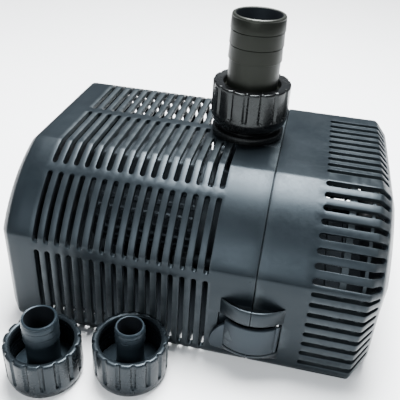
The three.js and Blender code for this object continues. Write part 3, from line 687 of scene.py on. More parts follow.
def recess_window(x_low, x_high, side, blind):
    """The latch's recess in the side wall, between two stations."""
    s_high, s_low = s_of_side(LATCH_LOW_Z), s_of_side(LATCH_LEDGE_Z)
    if side < 0:
        s_low, s_high = -s_high, -s_low
    corners = [(x_low, s_low), (x_high, s_low), (x_high, s_high), (x_low, s_high)]
    return Window(corners, RECESS_ROUNDING, blind)


# ---- Covers --------------------------------------------------------------------------------------


def ring_points(x, inset, stations_s):
    """The casing's outline drawn in by an inset at one place along it, as the CAD's inner rings are."""
    y, z = outline_at(stations_s)
    y = y * (HALF_WIDTH - inset) / HALF_WIDTH
    z = MIDDLE_Z + (z - MIDDLE_Z) * (MIDDLE_Z - inset) / MIDDLE_Z
    return np.stack([np.full_like(y, x), y, z], 1)


def hoop(name, corners):
    """A closed hoop inside the casing, from the (x, inset) corners of its section."""
    creases = (S_CREST, S_SHOULDER, S_CORNER, S_CORNER + 3, S_CORNER + 6, S_FLOOR)
    breaks = [side * s for side in (-1, 1) for s in creases]
    stations_s = np.array(spaced(-S_END, S_END, 5.0, breaks))[:-1]
    loops = [ring_points(x, inset, stations_s) for x, inset in corners]
    count = len(stations_s)
    faces = []
    for k in range(len(corners)):
        after = (k + 1) % len(corners)
        for i in range(count):
            j = (i + 1) % count
            faces.append((k * count + i, k * count + j, after * count + j, after * count + i))
    return mesh_from(name, np.vstack(loops), faces, sharp_angle=35)


def tray(name, low, high, wall):
    """An open-fronted box behind a window, opening towards -Y."""
    outer_low = (low[0] - wall, low[1], low[2] - wall)
    outer_high = (high[0] + wall, high[1] + wall, high[2] + wall)
    outer = cuboid(name, outer_low, outer_high, 0)
    inner = cuboid("cutter", (low[0], low[1] - 5, low[2]), high, 0)
    return subtract(outer, inner)


def loft_sections(name, sections, sharp=28):
    """A closed skin over sections of equal length, capped at both ends."""
    count = len(sections[0])
    faces = [tuple(range(count - 1, -1, -1))]
    for row in range(len(sections) - 1):
        for i in range(count):
            j = (i + 1) % count
            here, above = row * count, (row + 1) * count
            faces.append((here + i, here + j, above + j, above + i))
    faces.append(tuple((len(sections) - 1) * count + i for i in range(count)))
    return mesh_from(name, [p for section in sections for p in section], faces, sharp_angle=sharp)


def bulge_reach(x):
    """How far the latch's half-round stands proud of the near side at x."""
    return -BULGE_Y + math.sqrt(BULGE_RADIUS**2 - (x - SEAM_X) ** 2) - HALF_WIDTH


def ledge_profile(reach):
    """The ledge's section as (distance from the side, height): a rounded rim round a sunk dish."""
    full = min(1.0, max(0.0, reach) / 2.6)
    floor_z = LATCH_TOP_Z - 3.0 * full
    corners = [
        (-1.0, LATCH_LEDGE_Z), (reach - 1.5 * full, LATCH_LEDGE_Z), (reach - 0.5 * full, LATCH_LEDGE_Z + 1.2),
        (reach, LATCH_LEDGE_Z + 4.0), (reach, LATCH_TOP_Z - 2.4), (reach - 0.25 * full, LATCH_TOP_Z - 0.8),
        (reach - 0.7 * full, LATCH_TOP_Z - 0.1), (reach - 1.1 * full, LATCH_TOP_Z),
        (reach - 1.5 * full, LATCH_TOP_Z - 0.25 * full), (reach - 1.9 * full, LATCH_TOP_Z - 1.2 * full),
        (reach - 2.3 * full, floor_z + 0.3 * full), (reach - 2.9 * full, floor_z), (-1.0, floor_z),
    ]
    return [(max(d, -1.0 if i in (0, 12) else -0.4), z) for i, (d, z) in enumerate(corners)]


def lip_profile(reach):
    """The lip's section below the clip: a chamfer that runs out to the side."""
    return [
        (-1.0, LATCH_FOOT_Z), (-0.1, LATCH_FOOT_Z), (max(-0.1, reach * 0.5), LATCH_FOOT_Z + 2.2),
        (max(0.0, reach - 0.7), LATCH_LOW_Z - 1.9), (max(0.05, reach - 0.2), LATCH_LOW_Z - 0.9),
        (max(0.0, reach - 0.35), LATCH_LOW_Z - 0.25), (max(-0.1, reach - 0.9), LATCH_LOW_Z),
        (-1.0, LATCH_LOW_Z),
    ]


def latch_shelf(name, profile, x_low, x_high):
    """One half of the ledge or lip, between two places along the casing."""
    count = 14
    sections = []
    for i in range(count + 1):
        share = 0.5 - 0.5 * math.cos(math.pi * i / count)
        x = x_low + (x_high - x_low) * share
        sections.append([(x, -HALF_WIDTH - d, z) for d, z in profile(bulge_reach(x))])
    return loft_sections(name, sections)


def both_sides(piece):
    """A near-side piece and its mirror image, as a list."""
    return [piece, mirror_y(piece, piece.name + "_far")]


GRILLE_HOOPS_X = ((82.7, 86.2), (94.6, 96.4))
HOOP_OUTER_INSET, HOOP_INNER_INSET, HOOP_DRAFT = 2.4, 8.0, 0.2


def make_rear_cover():
    mouth = Mouth(OUTLET_X - NOTCH_HALF_WIDTH, NOTCH_HALF_WIDTH)
    recess_start, recess_end = SEAM_X - BULGE_CHORD - 0.6, SEAM_X - RECESS_SEAM_GAP
    recesses = [recess_window(recess_start, recess_end, side, RECESS_DEPTH) for side in (-1, 1)]
    body = shell("rear_cover_shell", REAR_STATIONS, SEAM_X - SEAM_HALF_GAP, REAR_FIRST_U,
                 rear_holes() + recesses, mouth=mouth)
    left, right = SEAM_X - BULGE_CHORD + 0.02, SEAM_X - SEAM_HALF_GAP
    parts = [body]
    parts += both_sides(latch_shelf("ledge", ledge_profile, left, right))
    parts += both_sides(latch_shelf("lip", lip_profile, left, right))
    return join("rear_cover_shell", parts)


def make_front_cover():
    window_start, window_end = SEAM_X + RECESS_SEAM_GAP, SEAM_X + BULGE_CHORD - 0.8
    windows = [recess_window(window_start, window_end, side, None) for side in (-1, 1)]
    body = shell("front_cover_shell", FRONT_STATIONS, SEAM_X + SEAM_HALF_GAP, FRONT_LAST_U,
                 front_holes() + windows)
    left, right = SEAM_X + SEAM_HALF_GAP, SEAM_X + BULGE_CHORD - 0.02
    parts = [body]
    parts += both_sides(latch_shelf("ledge", ledge_profile, left, right))
    parts += both_sides(latch_shelf("lip", lip_profile, left, right))
    parts += both_sides(tray("tray", (SEAM_X + 1.5, -HALF_WIDTH + 1.0, LATCH_LOW_Z - 0.1),
                             (SEAM_X + BULGE_CHORD - 0.7, -HALF_WIDTH + 6.0, LATCH_LEDGE_Z + 0.1), 0.8))
    for start, end in GRILLE_HOOPS_X:
        corners = [(start, HOOP_OUTER_INSET), (end, HOOP_OUTER_INSET),
                   (end - HOOP_DRAFT, HOOP_INNER_INSET), (start + HOOP_DRAFT, HOOP_INNER_INSET)]
        parts.append(hoop("grille_hoop", corners))
    root = SEAM_X + SEAM_HALF_GAP
    parts.append(hoop("spigot", [(root + 4, 2.5), (root + 4, 5.4), (root - 6, 5.4), (root - 6, 3.6),
                                 (root, 3.4), (root, 2.5)]))
    return join("front_cover_shell", parts)


# ---- Latch clips -----------------------------------------------------------------------------------

CLIP_LOW_Z, CLIP_TOP_Z = 15.4, 34.6
MIDDLE_CLIP_Z = (CLIP_LOW_Z + CLIP_TOP_Z) / 2
CLIP_HALF_CHORD = 14.6
CLIP_THICKNESS = 2.4
HINGE_X, HINGE_Y = 54.6, -93.2
KNUCKLE_BORE, KNUCKLE_RADIUS = 1.35, 1.9
EAR_LOW, EAR_HIGH = Vector((17.6, 11.0)), Vector((29.0, 31.0))
EAR_BACK_Y, EAR_FACE_Y = -93.3, -95.7


def unite(piece, others):
    """Joins closed meshes into one by boolean union."""
    for other in others:
        modifier = piece.modifiers.new("union", "BOOLEAN")
        modifier.operation = "UNION"
        modifier.solver = "EXACT"
        modifier.object = other
        apply_modifiers(piece)
        bpy.data.objects.remove(other)
    return piece


def curve_through(*legs):
    """Points along quadratic curves given as (start, pull, end)."""
    steps = 8
    points = []
    for start, pull, end in legs:
        for i in range(steps):
            t = i / steps
            pulled = Vector(start) * (1 - t) ** 2 + Vector(pull) * (2 * t * (1 - t))
            points.append(tuple(pulled + Vector(end) * t**2))
    return points


def make_band():
    """The clip's curved band, thinner towards its rounded ends."""
    turn_end = math.asin(CLIP_HALF_CHORD / BULGE_RADIUS)
    inner = BULGE_RADIUS - CLIP_THICKNESS
    edge = BULGE_RADIUS - 0.1
    profile = rounded([(inner, CLIP_LOW_Z), (edge, CLIP_LOW_Z), (BULGE_RADIUS, MIDDLE_CLIP_Z),
                       (edge, CLIP_TOP_Z), (inner, CLIP_TOP_Z)], 0.9, 4)
    centre_r = BULGE_RADIUS - CLIP_THICKNESS / 2
    start = [(-1.0, 0.62), (-0.992, 0.83), (-0.978, 0.95), (-0.96, 1.0)]
    middle = [(-0.96 + 1.92 * i / 24, 1.0) for i in range(1, 24)]
    end = [(-share, fill) for share, fill in reversed(start)]
    sections = []
    for share, fill in start + middle + end:
        turn = turn_end * share
        inset = (1 - fill) * CLIP_THICKNESS
        squeeze = 1 - inset / (CLIP_TOP_Z - CLIP_LOW_Z) * 2
        section = []
        for r, z in profile:
            r = centre_r + (r - centre_r) * fill
            z = MIDDLE_CLIP_Z + (z - MIDDLE_CLIP_Z) * squeeze
            section.append((SEAM_X + r * math.sin(turn), BULGE_Y - r * math.cos(turn), z))
        sections.append(section)
    return loft_sections("band", sections, 40)


def make_ear():
    """The thumb ear at the clip's free end."""
    low, high = EAR_LOW, EAR_HIGH
    outline = curve_through(
        ((high.x, high.y), (high.x - 5.0, high.y + 0.1), (high.x - 8.0, high.y - 5.2)),
        ((high.x - 8.0, high.y - 5.2), (low.x, low.y + 10.5), (low.x, low.y + 5.0)),
        ((low.x, low.y + 5.0), (low.x, low.y), (low.x + 4.6, low.y)),
        ((low.x + 4.6, low.y), (low.x + 8.0, low.y + 0.2), (high.x, low.y + 3.4)),
    )
    outline.append((high.x, low.y + 3.4))
    ear = prism("ear", [(-x, z) for x, z in outline], 0, EAR_BACK_Y - EAR_FACE_Y, rounding=0.6)
    # The prism grows along its own Z. This turns it to grow along -Y, which mirrors it.
    ear.data.transform(Matrix(((-1, 0, 0, 0), (0, 0, -1, EAR_BACK_Y * MM), (0, 1, 0, 0), (0, 0, 0, 1))))
    ear.data.flip_normals()
    return ear


def make_clip(name):
    corners = [(KNUCKLE_BORE, CLIP_LOW_Z), (KNUCKLE_RADIUS, CLIP_LOW_Z),
               (KNUCKLE_RADIUS, CLIP_TOP_Z), (KNUCKLE_BORE, CLIP_TOP_Z)]
    knuckle = lathe("knuckle", rounded(corners, 0.2, 2), 32, "Z", (HINGE_X, HINGE_Y, 0))
    clip = unite(make_band(), [make_ear(), knuckle])
    clip.name = name
    return smooth_by_angle(clip, 38)


MARK_X = 28.6
MARK_PROUD = 0.12


def mark(name, outline):
    """A thin plate on the clip's curved face, from an outline in (x, z)."""
    work = bmesh.new()
    corners = [work.verts.new((x, 0, z)) for x, z in outline]
    work.faces.new(corners)
    bmesh.ops.triangulate(work, faces=work.faces)
    for _ in range(2):
        bmesh.ops.subdivide_edges(work, edges=work.edges, cuts=1, use_grid_fill=True)
    front = bmesh.ops.duplicate(work, geom=work.faces[:] + work.edges[:] + work.verts[:])
    raised = {v for v in front["geom"] if isinstance(v, bmesh.types.BMVert)}
    for v in work.verts:
        reach = BULGE_RADIUS + (MARK_PROUD if v in raised else -0.3)
        v.co.y = BULGE_Y - math.sqrt(reach**2 - (v.co.x - SEAM_X) ** 2)
        v.co *= MM
    rims = [e for e in work.edges if e.is_boundary]
    bmesh.ops.bridge_loops(work, edges=rims)
    bmesh.ops.recalc_face_normals(work, faces=work.faces)
    mesh = bpy.data.meshes.new(name)
    work.to_mesh(mesh)
    work.free()
    return new_object(name, mesh)


def make_marks(name):
    """Generic lock marks: a large triangle up and a small triangle down."""
    triangle = mark("up", [(MARK_X - 2.9, 22.9), (MARK_X + 2.9, 22.9), (MARK_X, 29.0)])
    small = mark("down", [(MARK_X - 1.5, 21.2), (MARK_X + 1.5, 21.2), (MARK_X, 17.8)])
    return join(name, [triangle, small])


# ---- Union nuts and hosetails ------------------------------------------------------------------------

NUT_HEIGHT = 25.0
NUT_RADIUS = 23.6
SPARE_NUT_RADIUS = 21.2
NUT_TAPER = 1.3
NUT_BAND = 6.0
NUT_LIP = 4.2
NUT_CAVITY = 19.0
NUT_HOLE = 17.2
NUT_PANELS = 16
GROOVE_HALF_WIDTH = 1.25
GROOVE_DEPTH = 1.05
THREAD_PITCH = 3.0
THREAD_STEPS = 44


def thread_ridge(turn, z):
    """0 at a thread's root and 1 at its crest."""
    phase = (z / THREAD_PITCH - turn / (2 * math.pi)) % 1.0
    return min(1.0, max(0.0, 2.2 - abs(phase - 0.5) * 6.4))


def thread_rows(radius, start, end):
    """Rows along a threaded wall, for revolve_grid."""
    return [("thread", radius, start + (end - start) * i / THREAD_STEPS) for i in range(THREAD_STEPS + 1)]


def revolve_grid(name, columns, rows, reach, centre, sharp):
    """A closed ring over (kind, value, z) rows; reach(turn, row) gives each one's radius and height."""
    points = []
    for column in range(columns):
        turn = 2 * math.pi * column / columns
        for row in rows:
            radius, z = reach(turn, row)
            x = centre[0] + radius * math.cos(turn)
            y = centre[1] + radius * math.sin(turn)
            points.append((x, y, centre[2] + z))
    count = len(rows)
    faces = []
    for column in range(columns):
        after = (column + 1) % columns
        for i in range(count):
            j = (i + 1) % count
            faces.append((column * count + i, after * count + i, after * count + j, column * count + j))
    return mesh_from(name, points, faces, sharp_angle=sharp)


def groove_depth(turn, z, radius):
    """How deep a nut's surface is sunk at a place: round grooves with round lower ends."""
    pitch = 2 * math.pi / NUT_PANELS
    across = ((turn / pitch + 0.5) % 1.0 - 0.5) * pitch * radius
    below = max(0.0, NUT_BAND + 1.6 - z)
    share = math.hypot(across, below) / GROOVE_HALF_WIDTH
    sunk = GROOVE_DEPTH * math.sqrt(1 - share**2) if share < 1 else 0.0
    half = pitch * radius / 2
    crown = 0.22 * (abs(across) / half - 1) ** 2 if z > NUT_BAND + 0.5 else 0.0
    return sunk + crown


def make_nut(name, radius, x, y, foot_z):
    foot = radius - NUT_TAPER
    rows = [("foot", foot - 0.5, 0.0), ("foot", foot, 0.4)]
    rows += [("band", foot + NUT_TAPER * t, 0.4 + 4.0 * t) for t in (0.33, 0.66)]
    rows += [("band", radius - 0.05, 4.5), ("band", radius, 5.2)]
    levels = [5.9 + 0.22 * i for i in range(10)] + [8.4, 9.4, 11.5, 14.5, 17.5, 20.5, 22.5, 23.6]
    rows += [("panel", radius, z) for z in levels]
    rows += [("panel", radius - sunk, z) for sunk, z in ((0.08, 24.2), (0.3, 24.65), (0.75, 24.93))]
    rows += [("top", radius - 1.5, NUT_HEIGHT), ("flat", radius - 2.4, NUT_HEIGHT)]
    rows += [("flat", NUT_HOLE + sunk, NUT_HEIGHT - drop)
             for sunk, drop in ((0.9, 0.3), (0.35, 0.6), (0.08, 1.1), (0.0, 1.7))]
    lip_z = NUT_HEIGHT - NUT_LIP
    rows += [("flat", NUT_HOLE, lip_z + 0.2), ("flat", NUT_HOLE + 0.2, lip_z)]
    rows += [("flat", NUT_CAVITY, lip_z), ("flat", NUT_CAVITY, lip_z - 2.0)]
    rows += thread_rows(NUT_CAVITY, lip_z - 2.4, 1.2)
    rows += [("flat", NUT_CAVITY, 0.6), ("flat", NUT_CAVITY + 0.4, 0.0)]

    def reach(turn, row):
        kind, distance, z = row
        if kind in ("band", "panel", "top"):
            fade = 0.5 if kind == "top" else 1.0
            return distance - fade * groove_depth(turn, z, radius), z
        if kind == "thread":
            return distance - 0.3 * thread_ridge(turn, z), z
        return distance, z

    return revolve_grid(name, 256, rows, reach, (x, y, foot_z), 34)


TAIL_STEP = 0.7
FLANGE_RADIUS = 18.4
FLANGE_THICKNESS = 5.0


def make_hosetail(name, centre, radius, bore, flange_z, top_z, barbs, barb_length):
    """A stepped hosetail on its flange; its steps face the nut."""
    shoulder = flange_z + FLANGE_THICKNESS
    waist = radius - TAIL_STEP
    crest = radius - TAIL_STEP / 2
    corners = [(bore, flange_z), (FLANGE_RADIUS - 0.3, flange_z), (FLANGE_RADIUS, flange_z + 0.4),
               (FLANGE_RADIUS, shoulder - 0.5), (FLANGE_RADIUS - 0.5, shoulder),
               (radius + 0.4, shoulder), (waist + 0.15, shoulder + 0.6), (waist, shoulder + 1.6)]
    for i in range(barbs, 0, -1):
        low = top_z - i * barb_length
        high = low + barb_length
        corners += [(waist, low - 0.25), (waist, low), (radius - 0.18, low + 0.05),
                    (radius, low + 0.22), (radius, low + 0.5)]
        if i > 1:
            corners.append((crest, high - 0.5))
    corners += [(crest + 0.1, top_z - 1.9), (crest - 0.1, top_z - 1.5), (crest - 0.05, top_z - 0.9),
                (crest - 0.35, top_z - 0.3), (crest - 0.9, top_z), (bore + 0.9, top_z),
                (bore + 0.3, top_z - 0.25), (bore, top_z - 0.9)]
    return lathe(name, corners, 128, "Z", (centre[0], centre[1], 0), 25)


# ---- Pump unit ---------------------------------------------------------------------------------------

AXIS_Z = 46.0
VOLUTE_RADIUS = 36.0
CHAMBER_RADIUS = 33.0
VOLUTE_REAR_X, VOLUTE_FRONT_X = 2.0, 32.0
LUG_RADIUS, LUG_REACH = 5.0, 39.0
SCREW_HOLE = 1.9
CAN_HOLE = 16.8
LUG_TURNS = [math.pi * (0.25 + 0.5 * k) for k in range(4)]
COLLAR_LOW_Z, COLLAR_TOP_Z, COLLAR_RADIUS = 105.2, 109.8, 22.2
NECK_TOP_Z, NECK_RADIUS = 126.0, 18.5
PIPE_RADIUS, PIPE_BORE = 13.4, 11.6
SADDLE_LOW, SADDLE_HIGH = (4.0, -25.0, 74.0), (31.0, 25.0, 88.0)
WIRING_BOX_LOW, WIRING_BOX_HIGH = (-76.0, -28.0, 72.0), (-9.0, 28.0, 90.0)
HOUSING_REAR_X, HOUSING_FRONT_X = -78.0, 1.7
HOUSING_RADIUS, HOUSING_FIN_RADIUS, HOUSING_BORE = 35.9, 37.0, 34.0
HOUSING_FINS = 28
HOUSING_FEET_X, HOUSING_FOOT_Y, HOUSING_FOOT_HALF = (-62.0, -14.0), 26.0, 7.0
HOUSING_FOOT_LOW_Z, HOUSING_FOOT_HIGH_Z = 10.0, 21.0
COVER_BORE, COVER_ARMS, COVER_RIBS = 12.0, 3, 8
INLET_RADIUS, INLET_END_X = 15.0, 50.0
BOSS_RADIUS, BEARING_SOCKET_RADIUS, SHAFT_HOLE_RADIUS = 7.0, 5.3, 2.6
IMPELLER_VANES, VANE_HALF_THICKNESS, VANE_SWEEP = 6, 1.1, 0.5
SCREW_TIP_X, SCREW_HEAD_X = -4.3, 36.6
DAMPER_LOW_Z, DAMPER_TOP_Z, DAMPER_RADIUS = 3.3, 9.7, 7.0
GLAND_Z = 26.0


def rod_x(name, profile, segments=64, y=0.0, z=AXIS_Z, wave=None):
    return lathe(name, profile, segments, "X", (0, y, z), 32, wave=wave)


def solid_rod(name, radius, low, high, segments=48, axis="X", centre=(0, 0, AXIS_Z), rounding=0.5):
    """A closed rod with rounded end edges."""
    return prism(name, circle(radius, segments), low, high, axis=axis, centre=centre, rounding=rounding)


def lug_places():
    return [(LUG_REACH * math.cos(t), AXIS_Z + LUG_REACH * math.sin(t)) for t in LUG_TURNS]


def make_lugs(low, high):
    return [solid_rod("lug", LUG_RADIUS, low, high, 32, centre=(0, y, z)) for y, z in lug_places()]


def bore_out(body, radius, low, high, segments=96, axis="X", centre=(0, 0, AXIS_Z)):
    return subtract(body, solid_rod("cutter", radius, low, high, segments, axis, centre, 0))


def drill_lugs(body, low, high):
    """Cuts the screw holes through the lugs."""
    for y, z in lug_places():
        body = bore_out(body, SCREW_HOLE, low, high, 24, centre=(0, y, z))
    return smooth_by_angle(body)


def on_shaft(piece, turn):
    """Turns a piece made round the X axis and lifts it to the pump's shaft."""
    piece.data.transform(Matrix.Translation((0, 0, AXIS_Z * MM)) @ Matrix.Rotation(turn, 4, "X"))
    return piece


def make_volute_housing():
    drum = solid_rod("drum", VOLUTE_RADIUS, VOLUTE_REAR_X, VOLUTE_FRONT_X, 96, rounding=1.2)
    outlet = (OUTLET_X, 0, 0)
    parts = make_lugs(VOLUTE_REAR_X, VOLUTE_FRONT_X)
    parts.append(solid_rod("pipe", PIPE_RADIUS, AXIS_Z + 20, COLLAR_LOW_Z, 64, "Z", outlet, 0.3))
    parts.append(cuboid("saddle", SADDLE_LOW, SADDLE_HIGH, 1.5))
    body = unite(drum, parts)
    body = bore_out(body, CHAMBER_RADIUS, VOLUTE_REAR_X + 3, VOLUTE_FRONT_X + 5)
    body = bore_out(body, PIPE_BORE, AXIS_Z, COLLAR_LOW_Z + 5, 64, "Z", outlet)
    body = bore_out(body, CAN_HOLE, VOLUTE_REAR_X - 5, VOLUTE_REAR_X + 6, 64)
    return drill_lugs(body, VOLUTE_REAR_X - 5, VOLUTE_FRONT_X + 5)


def make_outlet_neck():
    """The collar and the threaded neck on top of the outlet pipe."""
    rows = [("flat", PIPE_BORE, COLLAR_LOW_Z), ("flat", COLLAR_RADIUS - 0.9, COLLAR_LOW_Z),
            ("flat", COLLAR_RADIUS - 0.2, COLLAR_LOW_Z + 0.4), ("flat", COLLAR_RADIUS, COLLAR_LOW_Z + 1.2),
            ("flat", COLLAR_RADIUS, COLLAR_TOP_Z - 1.1), ("flat", COLLAR_RADIUS - 0.3, COLLAR_TOP_Z - 0.35),
            ("flat", COLLAR_RADIUS - 1.0, COLLAR_TOP_Z), ("flat", NECK_RADIUS - 0.2, COLLAR_TOP_Z),
            ("flat", NECK_RADIUS - 0.6, COLLAR_TOP_Z + 0.5)]
    rows += thread_rows(NECK_RADIUS, COLLAR_TOP_Z + 1.5, NECK_TOP_Z - 1.2)
    rows += [("flat", NECK_RADIUS - 0.7, NECK_TOP_Z - 0.5), ("flat", NECK_RADIUS - 1.2, NECK_TOP_Z),
             ("flat", PIPE_BORE + 0.5, NECK_TOP_Z), ("flat", PIPE_BORE, NECK_TOP_Z - 0.5)]

    def reach(turn, row):
        kind, radius, z = row
        return (radius - 0.75 * (1 - thread_ridge(turn, z)) if kind == "thread" else radius), z

    return revolve_grid("outlet_neck", 144, rows, reach, (OUTLET_X, 0, 0), 40)


def make_platform():
    """The plate between the outlet pipe and the seam, with a round bite for the pipe."""
    half = NOTCH_HALF_WIDTH - 0.3
    start = OUTLET_X + 6.0
    radius = PIPE_RADIUS + 0.3
    turn = math.acos((start - OUTLET_X) / radius)
    outline = [(SEAM_X - 0.2, -half), (SEAM_X - 0.2, half), (start, half)]
    bite = [(OUTLET_X + radius * math.cos(t), radius * math.sin(t)) for t in np.linspace(turn, -turn, 24)]
    outline += bite + [(start, -half)]
    return prism("outlet_platform_plate", outline, HEIGHT - WALL, HEIGHT - 0.05, rounding=0.35, segments=2)


def make_volute_cover():
    low, high = VOLUTE_FRONT_X + 0.3, VOLUTE_FRONT_X + 4.3
    edge = VOLUTE_RADIUS
    inlet, end = INLET_RADIUS, INLET_END_X
    profile = [(COVER_BORE, low), (edge - 0.6, low), (edge, low + 0.6), (edge, high - 0.8),
               (edge - 0.8, high), (inlet + 4.0, high), (inlet + 1.2, high + 1.2), (inlet, high + 3.5),
               (inlet, end - 0.8), (inlet - 0.6, end), (COVER_BORE + 0.8, end), (COVER_BORE, end - 1.0)]
    disc = rod_x("disc", profile, 96)
    arms = [on_shaft(cuboid("arm", (38.0, -1.5, 3.0), (42.0, 1.5, 13.0), 0.4, 2), k * 2 * math.pi / COVER_ARMS)
            for k in range(COVER_ARMS)]
    ribs = [on_shaft(cuboid("rib", (high - 0.5, -0.9, 17.0), (high + 1.6, 0.9, 33.0), 0.3, 2),
                     (k + 0.5) * 2 * math.pi / COVER_RIBS) for k in range(COVER_RIBS)]
    boss = solid_rod("boss", BOSS_RADIUS, 37.0, 45.0, 48)
    body = unite(disc, make_lugs(low, high) + arms + ribs + [boss])
    body = bore_out(body, BEARING_SOCKET_RADIUS, 36.0, 43.3, 48)
    body = bore_out(body, SHAFT_HOLE_RADIUS, 40.0, 47.0, 32)
    return drill_lugs(body, low - 3, high + 3)


def housing_fin(turn, row):
    """How far a lengthwise fin stands out between the housing's two end bands."""
    share = abs((turn / (2 * math.pi) * HOUSING_FINS) % 1.0 - 0.5) * 2
    height = (HOUSING_FIN_RADIUS - HOUSING_RADIUS) * min(1.0, max(0.0, (share - 0.55) * 6))
    return height if row in (4, 5) else 0.0


def make_motor_housing():
    rear, front = HOUSING_REAR_X, HOUSING_FRONT_X
    base, ribs, bore = HOUSING_RADIUS, HOUSING_FIN_RADIUS, HOUSING_BORE
    profile = [(bore, rear), (ribs - 0.6, rear), (ribs, rear + 0.6), (ribs, rear + 4.5), (base, rear + 5.0),
               (base, front - 9.5), (ribs, front - 9.0), (ribs, front - 0.5), (ribs - 0.5, front),
               (CAN_HOLE, front), (CAN_HOLE, front - 3.0), (bore, front - 3.0)]
    tube = rod_x("tube", profile, 224, wave=housing_fin)
    half = HOUSING_FOOT_HALF
    parts = []
    for x in HOUSING_FEET_X:
        for y in (-HOUSING_FOOT_Y, HOUSING_FOOT_Y):
            low, high = (x - half, y - half, HOUSING_FOOT_LOW_Z), (x + half, y + half, HOUSING_FOOT_HIGH_Z)
            parts.append(cuboid("foot", low, high, 0.8))
    parts.append(cuboid("wiring_box", WIRING_BOX_LOW, WIRING_BOX_HIGH, 1.8))
    parts += make_lugs(front - 8, front)
    body = unite(tube, parts)
    body = bore_out(body, bore, rear - 2, front - 3.0)
    return drill_lugs(body, front - 7, front + 3)


def make_screw(index, y, z):
    """A pan-head screw with a cross recess."""
    tip, head = SCREW_TIP_X, SCREW_HEAD_X
    profile = [(0.02, tip), (1.1, tip + 0.4), (1.6, tip + 1.4), (1.6, head), (3.1, head), (3.4, head + 0.4),
               (3.2, head + 1.5), (2.4, head + 2.3), (0.02, head + 2.6)]
    screw = rod_x(f"volute_screw_{index}_fine", profile, 32, y, z)
    for turn in (math.pi / 4, 3 * math.pi / 4):
        slot = cuboid("slot", (head + 1.2, -0.35, -1.9), (head + 4.0, 0.35, 1.9), 0)
        slot.data.transform(Matrix.Translation((0, y * MM, z * MM)) @ Matrix.Rotation(turn, 4, "X"))
        screw = subtract(screw, slot)
    return smooth_by_angle(screw, 35)


def make_damper(index, x, y):
    """A rubber foot with two grip grooves and a flat top."""
    low, top, radius = DAMPER_LOW_Z, DAMPER_TOP_Z, DAMPER_RADIUS
    groove = radius - 0.6
    profile = [(0.02, low), (radius - 0.8, low), (radius, low + 0.7), (radius, low + 1.8),
               (groove, low + 2.2), (groove, low + 2.7), (radius, low + 3.1), (radius, low + 4.2),
               (groove, low + 4.6), (groove, low + 5.0), (radius, low + 5.4), (radius - 0.3, top),
               (radius - 2.0, top), (0.02, top)]
    return lathe(f"foot_damper_{index}_fine", profile, 48, "Z", (x, y, 0), 30)


def make_gland():
    """A grommet in the rear wall, with a waisted neck through the wall."""
    outer = REAR_END_X - 0.3
    inner = REAR_END_X + WALL + 0.3
    profile = [(3.6, outer - 2.2), (4.0, outer - 2.6), (6.6, outer - 2.6), (7.4, outer - 2.1),
               (8.7, outer - 0.6), (9.0, outer), (6.0, outer), (6.0, inner), (8.0, inner),
               (8.0, inner + 1.4), (7.4, inner + 2.0), (4.0, inner + 2.0), (3.6, inner + 1.6)]
    return rod_x("cable_gland_fine", profile, 64, 0.0, GLAND_Z)


def make_impeller():
    """Curved vanes on a disc, round the hub."""
    rear, front, radius, hub = 7.0, 25.0, 27.0, 8.0
    profile = [(2.8, -2.7), (7.6, -2.7), (8.0, -2.2), (8.0, rear), (radius - 0.4, rear), (radius, rear + 0.4),
               (radius, rear + 1.6), (radius - 0.4, rear + 2), (hub + 2, rear + 2.2), (hub, rear + 4),
               (hub - 1.5, front), (2.8, front)]
    disc = rod_x("disc", profile, 96)
    vanes = []
    for k in range(IMPELLER_VANES):
        outline = []
        for side in (1, -1):
            arc = []
            for i in range(9):
                t = i / 8
                reach = hub - 2 + (radius - hub + 1.6) * t
                turn = VANE_SWEEP * t**1.3
                offset = side * VANE_HALF_THICKNESS
                arc.append((reach * math.cos(turn) - offset * math.sin(turn + 0.3),
                            reach * math.sin(turn) + offset * math.cos(turn + 0.3)))
            outline += arc if side > 0 else arc[::-1]
        round_hub = 2 * math.pi * k / IMPELLER_VANES
        c, s = math.cos(round_hub), math.sin(round_hub)
        outline = [(u * c - v * s, u * s + v * c) for u, v in outline]
        vanes.append(prism("vane", outline, rear + 1.5, front, "X", (0, 0, AXIS_Z), 0.3, 2))
    return smooth_by_angle(unite(disc, vanes))


# ---- Materials ---------------------------------------------------------------------------------------


